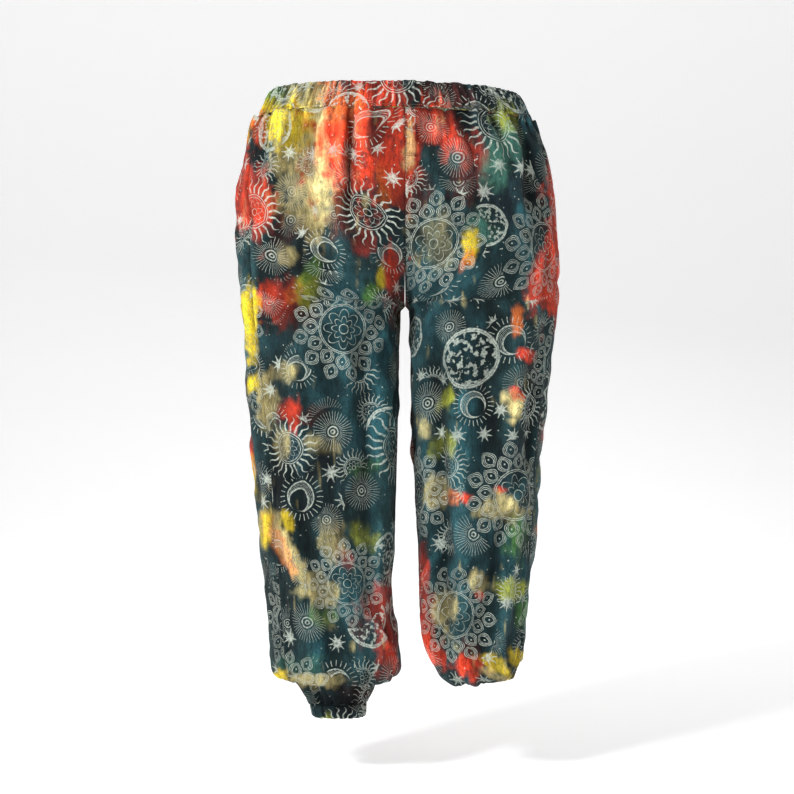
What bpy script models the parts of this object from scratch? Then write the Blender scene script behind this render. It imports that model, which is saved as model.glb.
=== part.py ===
"""Harem trousers as worn: elastic waist casing, four leg panels, elastic cuffs and a mock fly strip.

Metres, +Z up, front towards -Y. The origin is in the middle of the waist opening, just below the top
edge of its casing, where the wearer carries the trousers. Left and right are the wearer's: the wearer's right leg lies towards -X.
"""
import math
from collections import namedtuple

import bpy
import numpy as np

# ---- driving dimensions -------------------------------------------------------------------------
CLOTH = 0.0015            # wall of the leg panels
CASING = 0.0030           # wall of the casings: folded cloth with the elastic inside
SEAM_GAP = 0.0003         # kept between pieces that are sewn together
CASING_TOP = 0.005        # top edge of the waist casing at the sides
CASING_HEIGHT = 0.042     # waist casing, top edge to seam
CUFF_HEIGHT = 0.022       # cuff casing, seam to hem
FORK_X = 0.0126           # the centre seams hang a little to the wearer's left
RISE_TOP = -0.205         # where the centre seams start to turn under the body
CROTCH = -0.327           # height of the fork
WAIST_RISE = 0.014        # how much higher the waist is at the back than at the sides
WAIST_LEAN = 0.022        # and it is a little higher on the wearer's right
TILT_FADE = 0.130         # depth below the waist at which rise and lean are gone
SQUARENESS = 0.92         # power of the sine and cosine in a section: 1 is an ellipse, less is squarer

COLUMNS = 14              # quads across a panel
HIP_ROWS = 7              # quad rows from the waist seam to RISE_TOP
FORK_ROWS = 6             # from RISE_TOP to the fork
LEG_ROWS = 13             # from the fork to the blouse
BLOUSE_ROWS = 8           # over the blouse to the cuff seam

# ---- sections -----------------------------------------------------------------------------------
# Hip sections: how far the cloth reaches to each side of X = 0, and in front of and behind Y = 0.
Hip = namedtuple("Hip", "height right left front back")
HIPS = (
    Hip(0.005, 0.1970, 0.1925, 0.141, 0.144),
    Hip(-0.020, 0.2080, 0.2040, 0.150, 0.155),
    Hip(-0.045, 0.2220, 0.2165, 0.160, 0.168),
    Hip(-0.087, 0.238, 0.235, 0.169, 0.183),
    Hip(-0.125, 0.248, 0.243, 0.172, 0.192),
    Hip(-0.165, 0.2545, 0.248, 0.171, 0.197),
    Hip(-0.205, 0.2545, 0.2495, 0.166, 0.193),
    Hip(-0.265, 0.2505, 0.2525, 0.154, 0.178),
    Hip(-0.327, 0.2455, 0.2530, 0.141, 0.158),
)

# Leg sections below the fork: outer and inner edge, front and back, and how much the ring dips at
# its front, its outer side and its inner side compared with the back.
Leg = namedtuple("Leg", "height outer inner front back dip_front dip_outer dip_inner")
RIGHT_LEG = (
    Leg(-0.327, -0.2455, 0.0126, -0.141, 0.158, 0, 0, 0),
    Leg(-0.337, -0.2450, 0.0047, -0.139, 0.155, 0, 0, 0),
    Leg(-0.466, -0.2355, 0.0024, -0.121, 0.134, 0, 0, 0),
    Leg(-0.580, -0.2240, 0.0000, -0.108, 0.123, 0, 0, 0),
    Leg(-0.694, -0.2145, -0.0040, -0.098, 0.116, 0, 0, 0),
    Leg(-0.770, -0.2045, -0.0085, -0.092, 0.111, 0, 0, 0),
    Leg(-0.845, -0.1990, 0.0000, -0.090, 0.108, 0, 0, 0),
    Leg(-0.880, -0.1965, 0.0030, -0.090, 0.107, 0.002, 0, 0),
)
LEFT_LEG = (
    Leg(-0.327, 0.2530, 0.0126, -0.141, 0.158, 0, 0, 0),
    Leg(-0.337, 0.2525, 0.0208, -0.138, 0.154, 0, 0, 0),
    Leg(-0.466, 0.2340, 0.0221, -0.118, 0.132, 0, 0, 0),
    Leg(-0.580, 0.2212, 0.0277, -0.105, 0.121, 0, 0, 0),
    Leg(-0.694, 0.2150, 0.0324, -0.095, 0.114, 0, 0, 0),
    Leg(-0.770, 0.2055, 0.0348, -0.088, 0.109, 0, 0, 0),
    Leg(-0.820, 0.2005, 0.0375, -0.084, 0.105, 0.002, 0, 0),
    Leg(-0.840, 0.1990, 0.0400, -0.083, 0.103, 0.004, 0, 0.002),
)

# Blouse sections: the leg's lower end turns in under itself and gathers into the cuff. The rows run
# along the cloth from the leg to the cuff seam.
RIGHT_BLOUSE = (
    Leg(-0.880, -0.1965, 0.0030, -0.090, 0.107, 0.002, 0, 0),
    Leg(-0.899, -0.1915, 0.0025, -0.089, 0.104, 0.005, 0.002, 0.001),
    Leg(-0.908, -0.1840, -0.0045, -0.084, 0.097, 0.009, 0.001, 0.003),
    Leg(-0.9085, -0.1750, -0.0160, -0.073, 0.086, 0.008, 0.003, 0.002),
    Leg(-0.9080, -0.1660, -0.0260, -0.060, 0.076, 0.002, 0.006, 0.001),
    Leg(-0.9140, -0.1560, -0.0340, -0.050, 0.068, 0.001, 0.009, 0.004),
    Leg(-0.9280, -0.1460, -0.0410, -0.042, 0.060, 0.002, 0.008, 0.004),
    Leg(-0.9410, -0.1395, -0.0470, -0.036, 0.055, 0.002, 0.004, 0.003),
    Leg(-0.9540, -0.1355, -0.0505, -0.032, 0.051, 0, 0, 0),
)
LEFT_BLOUSE = (
    Leg(-0.840, 0.1990, 0.0400, -0.083, 0.103, 0.004, 0, 0.002),
    Leg(-0.862, 0.1988, 0.0470, -0.082, 0.100, 0.007, -0.007, 0.005),
    Leg(-0.880, 0.1984, 0.0590, -0.080, 0.096, 0.010, -0.014, 0.009),
    Leg(-0.8900, 0.1978, 0.0740, -0.073, 0.089, 0.018, -0.016, 0.019),
    Leg(-0.8915, 0.1970, 0.0880, -0.062, 0.080, 0.023, -0.0155, 0.024),
    Leg(-0.8880, 0.1960, 0.0970, -0.051, 0.071, 0.016, -0.0085, 0.018),
    Leg(-0.8850, 0.1945, 0.1040, -0.041, 0.063, 0.005, 0.001, 0.007),
    Leg(-0.8895, 0.1915, 0.1085, -0.033, 0.056, 0.001, 0.001, 0.002),
    Leg(-0.8980, 0.1880, 0.1100, -0.029, 0.052, 0, 0, 0),
)

# The cuff casing: a ring below the blouse, its hem moved a little and drawn in by the elastic.
Cuff = namedtuple("Cuff", "side shift_x shift_y shrink roll")
CUFFS = (
    Cuff("right", 0.001, 0.002, 0.0035, 0.0),
    Cuff("left", -0.004, 0.002, 0.0030, 0.10),
)

# The side seams are pulled round to the front: degrees from the pure side.
Swing = namedtuple("Swing", "height right left")
SWINGS = (
    Swing(0.005, 18, 12),
    Swing(-0.100, 22, 16),
    Swing(-0.300, 36, 19),
    Swing(-0.500, 41, 22),
    Swing(-0.980, 40, 24),
)

# The largest folds. A fold runs down from top to bottom at an angle that changes from angle_top to
# angle_bottom, in degrees from the pure side, with 90 in front, 180 at the inside and -90 behind.
# depth is outwards if positive; spread is its half width in metres.
Fold = namedtuple("Fold", "side angle_top angle_bottom top bottom depth spread")
FOLDS = (
    Fold("right", 69, 71, -0.020, -0.270, -0.012, 0.016),
    Fold("right", 62, 64, -0.020, -0.240, 0.007, 0.022),
    Fold("right", 78, 80, -0.020, -0.210, 0.006, 0.020),
    Fold("right", 46, 55, -0.030, -0.330, -0.006, 0.022),
    Fold("right", 122, 128, -0.380, -0.860, -0.009, 0.020),
    Fold("right", 140, 132, -0.420, -0.900, 0.008, 0.022),
    Fold("right", 62, 88, -0.560, -0.900, -0.008, 0.022),
    Fold("right", 52, 74, -0.600, -0.890, 0.007, 0.020),
    Fold("right", -62, -68, -0.020, -0.310, -0.009, 0.026),
    Fold("right", -42, -48, -0.030, -0.260, 0.007, 0.024),
    Fold("right", -114, -104, -0.370, -0.815, -0.010, 0.025),
    Fold("right", -80, -86, -0.420, -0.900, 0.008, 0.024),
    Fold("right", -40, -50, -0.520, -0.880, -0.007, 0.022),
    Fold("left", 66, 62, -0.020, -0.230, -0.007, 0.018),
    Fold("left", 44, 50, -0.030, -0.300, 0.006, 0.022),
    Fold("left", 34, 36, -0.020, -0.200, -0.006, 0.018),
    Fold("left", 128, 120, -0.370, -0.840, -0.009, 0.020),
    Fold("left", 108, 98, -0.400, -0.880, 0.007, 0.022),
    Fold("left", 58, 84, -0.620, -0.880, -0.008, 0.020),
    Fold("left", 44, 60, -0.560, -0.860, 0.006, 0.020),
    Fold("left", -64, -58, -0.020, -0.300, -0.008, 0.024),
    Fold("left", -44, -40, -0.030, -0.260, 0.007, 0.022),
    Fold("left", -106, -114, -0.380, -0.800, -0.010, 0.022),
    Fold("left", -84, -78, -0.420, -0.870, 0.008, 0.024),
    Fold("left", -42, -52, -0.540, -0.860, -0.007, 0.022),
)
FOLD_FADE = 0.050         # length over which a fold starts and ends
SEAM_HOLD = 0.030         # folds die out this far from the centre seams
STEP = 2.0                # degrees to either side when the cloth's direction is worked out

# The mock fly: a strip stitched beside the centre front seam.
FLY_WIDTH = 0.012
FLY_TOP = -0.041
FLY_BOTTOM = -0.112
FLY_WALL = 0.0010
FLY_COLUMNS = 2
FLY_ROWS = 5

RING_COLUMNS = 60         # quads round the waist casing
CUFF_COLUMNS = 28         # quads round a cuff

Finish = namedtuple("Finish", "name colour roughness")
DYED_CLOTH = Finish("dyed_cloth", (0.085, 0.125, 0.125, 1.0), 0.85)
RED_CLOTH = Finish("red_cloth", (0.48, 0.09, 0.04, 1.0), 0.85)


# ---- helpers ------------------------------------------------------------------------------------
def column(rows, name):
    return np.array([getattr(row, name) for row in rows], float)


def smooth_through(at, knots, values):
    """A smooth curve through the knots: cubic pieces whose slopes never overshoot (Fritsch-Carlson)."""
    knots, values = np.asarray(knots, float), np.asarray(values, float)
    span = np.diff(knots)
    slope = np.diff(values) / span
    before, after = slope[:-1], slope[1:]
    same = before * after > 0
    inner = np.zeros(len(before))
    inner[same] = 2 * before[same] * after[same] / (before[same] + after[same])
    tangent = np.concatenate([[slope[0]], inner, [slope[-1]]])
    at = np.clip(at, knots[0], knots[-1])
    i = np.clip(np.searchsorted(knots, at, side="right") - 1, 0, len(span) - 1)
    t = (at - knots[i]) / span[i]
    return (
        values[i] * (1 + 2 * t) * (1 - t) ** 2
        + tangent[i] * span[i] * t * (1 - t) ** 2
        + values[i + 1] * t * t * (3 - 2 * t)
        - tangent[i + 1] * span[i] * t * t * (1 - t)
    )


def by_height(rows, name, height):
    """A column of a table at these heights. The tables run downwards."""
    return smooth_through(-np.asarray(height, float), -column(rows, "height"), column(rows, name))


def along_table(rows, name, share):
    """A column of a table by the share of its rows passed, from 0 to 1."""
    return smooth_through(share, np.linspace(0, 1, len(rows)), column(rows, name))


def ease(t):
    t = np.clip(t, 0, 1)
    return t * t * (3 - 2 * t)


def powered(wave):
    return np.sign(wave) * np.abs(wave) ** SQUARENESS


# ---- the cloth's surface ------------------------------------------------------------------------
def side_sign(side):
    """Which way along X this side's outside lies."""
    return -1.0 if side == "right" else 1.0


def waist_lift(x, y, height):
    """How far tilt and lean raise a point near the waist."""
    share = 1 - ease(-np.asarray(height) / TILT_FADE)
    back = np.maximum(y, 0) / HIPS[0].back
    return (WAIST_RISE * back**2 - WAIST_LEAN * x) * share


def section_rows(side):
    """One entry for each row of the grid, from the waist seam to the cuff seam. Each holds the ring's
    centre and half sizes, its dips and the angle at which the panel reaches the centre seam or inseam."""
    sign = side_sign(side)
    seam = CASING_TOP - CASING_HEIGHT - SEAM_GAP
    heights = np.linspace(seam, RISE_TOP, HIP_ROWS + 1)
    turns = np.full(len(heights), 90.0)
    under = np.linspace(0, 90, FORK_ROWS + 1)[1:]
    down = 1.5 - np.sqrt(2.25 - 2 * np.sin(np.radians(under)))
    heights = np.append(heights, RISE_TOP + (CROTCH - RISE_TOP) * down)
    turns = np.append(turns, 90 + under)
    rows = []
    for height, turn in zip(heights, turns):
        outer = sign * by_height(HIPS, side, height)
        reach = (outer - FORK_X) / (1 - powered(math.cos(math.radians(turn))))
        rows.append(
            dict(
                height=height,
                centre=outer - reach,
                half=abs(reach),
                front=by_height(HIPS, "front", height),
                back=by_height(HIPS, "back", height),
                dips=(0.0, 0.0, 0.0),
                turn=turn,
            )
        )
    legs, blouse = (RIGHT_LEG, RIGHT_BLOUSE) if side == "right" else (LEFT_LEG, LEFT_BLOUSE)
    spread = np.linspace(0, 1, LEG_ROWS + 1)[1:] ** 1.25
    for height in CROTCH + (legs[-1].height - CROTCH) * spread:
        rows.append(leg_row({k: by_height(legs, k, height) for k in Leg._fields[1:]}, height))
    for share in np.linspace(0, 1, BLOUSE_ROWS + 1)[1:]:
        values = {k: along_table(blouse, k, share) for k in Leg._fields}
        rows.append(leg_row(values, values["height"]))
    return rows


def leg_row(values, height):
    return dict(
        height=height,
        centre=(values["outer"] + values["inner"]) / 2,
        half=abs(values["outer"] - values["inner"]) / 2,
        front=-values["front"],
        back=values["back"],
        dips=(values["dip_front"], values["dip_outer"], values["dip_inner"]),
        turn=180.0,
    )


def fold_depth(side, angle, height, half):
    """The sum of this side's folds at an angle in degrees, as a distance outwards."""
    total = np.zeros_like(angle)
    for fold in (f for f in FOLDS if f.side == side):
        share = np.clip((fold.top - height) / (fold.top - fold.bottom), 0, 1)
        centre = fold.angle_top + (fold.angle_bottom - fold.angle_top) * share
        apart = (angle - centre + 180) % 360 - 180
        across = np.radians(apart) * half / fold.spread
        down = ease((fold.top - height) / FOLD_FADE) * ease((height - fold.bottom) / FOLD_FADE)
        total = total + fold.depth * np.exp(-across**2) * down
    return total


def row_points(side, row, angle, with_folds=True):
    """The points of one row at these angles, and the direction in which each faces."""
    sign = side_sign(side)
    turn = np.radians(angle)
    depth = np.where(angle >= 0, row["front"], row["back"])
    across, forward = powered(np.cos(turn)), powered(np.sin(turn))
    x = row["centre"] + sign * row["half"] * across
    y = -depth * forward
    out = np.stack([sign * np.cos(turn) / row["half"], -np.sin(turn) / depth], axis=-1)
    out /= np.linalg.norm(out, axis=-1, keepdims=True)
    if with_folds:
        mean = (row["half"] + row["front"]) / 2
        held = ease(np.abs(x - FORK_X) / SEAM_HOLD) if row["turn"] < 180 else 1.0
        held = held * ease((row["half"] - 0.04) / 0.04)
        moved = fold_depth(side, angle, row["height"], mean) * held
        x, y = x + out[..., 0] * moved, y + out[..., 1] * moved
    front, outer, inner = row["dips"]
    dip = front * np.clip(np.sin(turn), 0, 1) + outer * np.clip(np.cos(turn), 0, 1) ** 2
    dip = dip + inner * np.clip(-np.cos(turn), 0, 1) ** 2
    z = row["height"] - dip + waist_lift(x, y, row["height"])
    return np.stack([x, y, z], axis=-1)


def panel_grid(side, face):
    """The mid surface of one panel as a grid of points, with its outward normals: rows down the leg,
    columns from the side seam to the centre seam or inseam."""
    points, along = [], []
    for row in section_rows(side):
        swing = by_height(SWINGS, side, min(row["height"], SWINGS[0].height))
        trim = math.degrees(SEAM_GAP * (0.8 if row["half"] > 0.06 else 1.3) / row["front"])
        if face == "front":
            angles = np.linspace(swing + trim, row["turn"] - trim, COLUMNS + 1)
        else:
            angles = np.linspace(swing - trim, -row["turn"] + trim, COLUMNS + 1)
        points.append(row_points(side, row, angles))
        along.append(row_points(side, row, angles + STEP) - row_points(side, row, angles - STEP))
    points = np.array(points)
    normals = np.cross(np.array(along), np.gradient(points, axis=0)) * side_sign(side)
    normals[[0, -1], :, 2] = 0
    normals[HIP_ROWS + FORK_ROWS, -1] = (-side_sign(side), 0, -1)
    return points, normals / np.linalg.norm(normals, axis=-1, keepdims=True)


# ---- solids -------------------------------------------------------------------------------------
def split_alike(quads, points):
    """Each quad as two triangles, cut along its shorter diagonal, so that both skins of a wall bend
    along the same lines and never cross."""
    apart = np.linalg.norm(points[quads[:, :2]] - points[quads[:, 2:]], axis=-1)
    turned = np.where(apart[:, :1] > apart[:, 1:], np.roll(quads, -1, axis=1), quads)
    return np.concatenate([turned[:, [0, 1, 2]], turned[:, [0, 2, 3]]])


def wall(name, outer, inner, finish, closed=False):
    """A closed wall between two grids of points: two skins and the rims that join them. The columns run
    anticlockwise from above and the rows run down."""
    rows, columns = outer.shape[:2]
    index = np.arange(rows * columns).reshape(rows, columns)
    right = np.roll(index, -1, axis=1) if closed else index[:, 1:]
    left = index if closed else index[:, :-1]
    quads = np.stack([left[:-1], right[:-1], right[1:], left[1:]], axis=-1).reshape(-1, 4)
    skin = split_alike(quads, (outer + inner).reshape(-1, 3) / 2)
    shift = rows * columns
    faces = [skin[:, ::-1] + shift, skin]
    rims = [(left[0], right[0], 1), (left[-1], right[-1], -1)]
    if not closed:
        rims += [(index[:-1, 0], index[1:, 0], -1), (index[:-1, -1], index[1:, -1], 1)]
    for start, end, turn in rims:
        rim = np.stack([end, start, start + shift, end + shift], axis=-1)[:, ::turn]
        faces += [rim[:, [0, 1, 2]], rim[:, [0, 2, 3]]]
    vertices = np.round(np.concatenate([outer.reshape(-1, 3), inner.reshape(-1, 3)]), 5)
    mesh = bpy.data.meshes.new(name)
    mesh.from_pydata(vertices.tolist(), [], np.concatenate(faces)[:, ::-1].tolist())
    mesh.validate()
    mesh.shade_smooth()
    mesh.set_sharp_from_angle(angle=math.radians(50))
    mesh.materials.append(material(finish))
    made = bpy.data.objects.new(name, mesh)
    bpy.context.scene.collection.objects.link(made)
    return made


def material(finish):
    made = bpy.data.materials.get(finish.name)
    if made is None:
        made = bpy.data.materials.new(finish.name)
        made.use_nodes = True
        shader = made.node_tree.nodes["Principled BSDF"]
        shader.inputs["Base Color"].default_value = finish.colour
        shader.inputs["Roughness"].default_value = finish.roughness
    return made


def kept_to_side(points, side):
    """Keeps a panel on its own side of the centre seams, with its centre edge flat against the seam."""
    sign = side_sign(side)
    seam_rows = HIP_ROWS + FORK_ROWS + 1
    reach = sign * (points[..., 0] - FORK_X)
    points[:seam_rows, :, 0] = FORK_X + sign * np.maximum(reach, SEAM_GAP / 2)[:seam_rows]
    points[:seam_rows, -1, 0] = FORK_X + sign * SEAM_GAP / 2
    return points


def leg_panel(side, face):
    grid, normals = panel_grid(side, face)
    outer = kept_to_side(grid + normals * CLOTH / 2, side)
    inner = kept_to_side(grid - normals * CLOTH / 2, side)
    if (side == "right") != (face == "front"):
        outer, inner = outer[:, ::-1], inner[:, ::-1]
    wall(f"{face}_{side}", outer, inner, DYED_CLOTH)


def waist_ring(height, grow):
    """A ring of the waist casing, anticlockwise from above, starting at the wearer's right side."""
    turn = np.linspace(0, 2 * np.pi, RING_COLUMNS, endpoint=False)
    across, forward = powered(np.cos(turn)), powered(np.sin(turn))
    side = np.where(across >= 0, by_height(HIPS, "right", height), by_height(HIPS, "left", height))
    depth = np.where(forward >= 0, by_height(HIPS, "front", height), by_height(HIPS, "back", height))
    reach = np.where(across >= 0, side + FORK_X, side - FORK_X)
    x = FORK_X - (reach + grow) * across
    y = -(depth + grow) * forward
    return np.stack([x, y, height + waist_lift(x, y, height)], axis=-1)


def waist_casing():
    heights = np.linspace(CASING_TOP, CASING_TOP - CASING_HEIGHT, 3)
    bulge = np.array([0.0, 0.0015, 0.0])
    outer = np.array([waist_ring(h, CASING / 2 + b) for h, b in zip(heights, bulge)])
    inner = np.array([waist_ring(h, -CASING / 2) for h in heights])
    wall("waist_casing", outer, inner, DYED_CLOTH, closed=True)


def cuff_casing(cuff):
    side, last = cuff.side, section_rows(cuff.side)[-1]
    sign = side_sign(side)
    angles = np.linspace(0, 360, CUFF_COLUMNS, endpoint=False)
    angles = np.where(angles > 180, angles - 360, angles)
    skins = []
    for offset in (CASING / 2, -CASING / 2):
        rings = []
        for share in (0.0, 0.4, 1.0):
            row = dict(last)
            drawn = cuff.shrink * share - offset - 0.0006 * (share == 0.4)
            row["centre"] = last["centre"] + cuff.shift_x * share
            row["half"] = last["half"] - drawn
            row["front"] = last["front"] - cuff.shift_y * share - drawn
            row["back"] = last["back"] + cuff.shift_y * share - drawn
            row["height"] = last["height"] - SEAM_GAP - CUFF_HEIGHT * share
            ring = row_points(side, row, angles, with_folds=False)
            ring[:, 2] += cuff.roll * share * (ring[:, 0] - row["centre"])
            rings.append(ring)
        skins.append(np.array(rings))
    outer, inner = skins
    if sign > 0:
        outer, inner = outer[:, ::-1], inner[:, ::-1]
    wall(f"cuff_{side}", outer, inner, DYED_CLOTH, closed=True)


def fly_strip():
    """The mock fly lies on the front panel of the wearer's left, just clear of it."""
    side = "left"
    heights = np.linspace(FLY_TOP, FLY_BOTTOM, FLY_ROWS + 1)
    reaches = FORK_X + np.linspace(0.003, 0.003 + FLY_WIDTH, FLY_COLUMNS + 1)
    grid = []
    for height in heights:
        outer = by_height(HIPS, side, height)
        row = dict(
            height=height,
            centre=FORK_X,
            half=outer - FORK_X,
            front=by_height(HIPS, "front", height),
            back=by_height(HIPS, "back", height),
            dips=(0.0, 0.0, 0.0),
            turn=90.0,
        )
        cosine = ((reaches - FORK_X) / row["half"]) ** (1 / SQUARENESS)
        grid.append(row_points(side, row, np.degrees(np.arccos(cosine))))
    grid = np.array(grid)
    out = np.array([0.0, -1.0, 0.0])
    clear = CLOTH / 2 + SEAM_GAP
    wall("fly_strip", grid + out * (clear + FLY_WALL), grid + out * clear, RED_CLOTH)


def main():
    for old in list(bpy.data.objects):
        bpy.data.objects.remove(old)
    waist_casing()
    for side in ("right", "left"):
        for face in ("front", "back"):
            leg_panel(side, face)
    for cuff in CUFFS:
        cuff_casing(cuff)
    fly_strip()


main()
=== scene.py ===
import math

import bpy
import numpy as np
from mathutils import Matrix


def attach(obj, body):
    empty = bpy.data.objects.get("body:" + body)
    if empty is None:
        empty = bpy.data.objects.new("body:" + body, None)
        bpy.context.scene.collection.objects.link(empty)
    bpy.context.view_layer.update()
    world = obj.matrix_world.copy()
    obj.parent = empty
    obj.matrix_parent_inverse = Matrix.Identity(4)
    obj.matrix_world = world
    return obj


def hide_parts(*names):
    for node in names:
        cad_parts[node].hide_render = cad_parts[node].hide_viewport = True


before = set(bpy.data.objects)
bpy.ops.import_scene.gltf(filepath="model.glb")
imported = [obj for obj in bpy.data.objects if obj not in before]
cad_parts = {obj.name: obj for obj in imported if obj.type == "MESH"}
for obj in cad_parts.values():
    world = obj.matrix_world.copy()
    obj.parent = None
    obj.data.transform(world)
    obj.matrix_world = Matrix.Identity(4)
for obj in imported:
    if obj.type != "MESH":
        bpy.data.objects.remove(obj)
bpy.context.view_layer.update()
print("frame loaded")

# the cut: the same sections as the solids, in metres
cut = {
    "forkX": 0.0126,          # centre seams
    "riseTop": -0.205,        # where they start to turn under
    "crotch": -0.327,
    "turnUnder": 1.5,         # a in the depth a - sqrt(a^2 - 2 sin), which ends at 1 for this a
    "casingTop": 0.005,
    "casingHeight": 0.042,
    "cuffHeight": 0.022,
    "waistRise": 0.014,       # higher at the back
    "waistLean": 0.022,       # higher on the wearer's right
    "tiltFade": 0.130,
    "squareness": 0.92,
    "cloth": 0.0011,          # wall shown; thinner than the solid's
}

# height, right, left, front, back
hips = np.array([
    (0.005, 0.1970, 0.1925, 0.141, 0.144),
    (-0.020, 0.2080, 0.2040, 0.150, 0.155),
    (-0.045, 0.2220, 0.2165, 0.160, 0.168),
    (-0.087, 0.2380, 0.2350, 0.169, 0.183),
    (-0.125, 0.2480, 0.2430, 0.172, 0.192),
    (-0.165, 0.2545, 0.2480, 0.171, 0.197),
    (-0.205, 0.2545, 0.2495, 0.166, 0.193),
    (-0.265, 0.2505, 0.2525, 0.154, 0.178),
    (-0.327, 0.2455, 0.2530, 0.141, 0.158),
])
hipColumn = {"height": 0, "right": 1, "left": 2, "front": 3, "back": 4}

# height, outer, inner, front, back, dip at the front, outer and inner side
legs = {
    "right": np.array([
        (-0.327, -0.2455, 0.0126, -0.141, 0.158, 0, 0, 0),
        (-0.337, -0.2450, 0.0047, -0.139, 0.155, 0, 0, 0),
        (-0.466, -0.2355, 0.0024, -0.121, 0.134, 0, 0, 0),
        (-0.580, -0.2240, 0.0000, -0.108, 0.123, 0, 0, 0),
        (-0.694, -0.2145, -0.0040, -0.098, 0.116, 0, 0, 0),
        (-0.770, -0.2045, -0.0085, -0.092, 0.111, 0, 0, 0),
        (-0.845, -0.1990, 0.0000, -0.090, 0.108, 0, 0, 0),
        (-0.880, -0.1965, 0.0030, -0.090, 0.107, 0.002, 0, 0),
    ]),
    "left": np.array([
        (-0.327, 0.2530, 0.0126, -0.141, 0.158, 0, 0, 0),
        (-0.337, 0.2525, 0.0208, -0.138, 0.154, 0, 0, 0),
        (-0.466, 0.2340, 0.0221, -0.118, 0.132, 0, 0, 0),
        (-0.580, 0.2212, 0.0277, -0.105, 0.121, 0, 0, 0),
        (-0.694, 0.2150, 0.0324, -0.095, 0.114, 0, 0, 0),
        (-0.770, 0.2055, 0.0348, -0.088, 0.109, 0, 0, 0),
        (-0.820, 0.2005, 0.0375, -0.084, 0.105, 0.002, 0, 0),
        (-0.840, 0.1990, 0.0400, -0.083, 0.103, 0.004, 0, 0.002),
    ]),
}
blouses = {
    "right": np.array([
        (-0.880, -0.1965, 0.0030, -0.090, 0.107, 0.002, 0, 0),
        (-0.899, -0.1915, 0.0025, -0.089, 0.104, 0.005, 0.002, 0.001),
        (-0.908, -0.1840, -0.0045, -0.084, 0.097, 0.009, 0.001, 0.003),
        (-0.9085, -0.1750, -0.0160, -0.073, 0.086, 0.008, 0.003, 0.002),
        (-0.9080, -0.1660, -0.0260, -0.060, 0.076, 0.002, 0.006, 0.001),
        (-0.9140, -0.1560, -0.0340, -0.050, 0.068, 0.001, 0.009, 0.004),
        (-0.9280, -0.1460, -0.0410, -0.042, 0.060, 0.002, 0.008, 0.004),
        (-0.9410, -0.1395, -0.0470, -0.036, 0.055, 0.002, 0.004, 0.003),
        (-0.9540, -0.1355, -0.0505, -0.032, 0.051, 0, 0, 0),
    ]),
    "left": np.array([
        (-0.840, 0.1990, 0.0400, -0.083, 0.103, 0.004, 0, 0.002),
        (-0.862, 0.1988, 0.0470, -0.082, 0.100, 0.007, -0.007, 0.005),
        (-0.880, 0.1984, 0.0590, -0.080, 0.096, 0.010, -0.014, 0.009),
        (-0.8900, 0.1978, 0.0740, -0.073, 0.089, 0.018, -0.016, 0.019),
        (-0.8915, 0.1970, 0.0880, -0.062, 0.080, 0.023, -0.0155, 0.024),
        (-0.8880, 0.1960, 0.0970, -0.051, 0.071, 0.016, -0.0085, 0.018),
        (-0.8850, 0.1945, 0.1040, -0.041, 0.063, 0.005, 0.001, 0.007),
        (-0.8895, 0.1915, 0.1085, -0.033, 0.056, 0.001, 0.001, 0.002),
        (-0.8980, 0.1880, 0.1100, -0.029, 0.052, 0, 0, 0),
    ]),
}
# side seams: height, degrees round to the front on the right and the left
swings = np.array([(0.005, 18, 12), (-0.100, 22, 16), (-0.300, 36, 19), (-0.500, 41, 22), (-0.980, 40, 24)])
swingColumn = {"right": 1, "left": 2}

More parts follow.
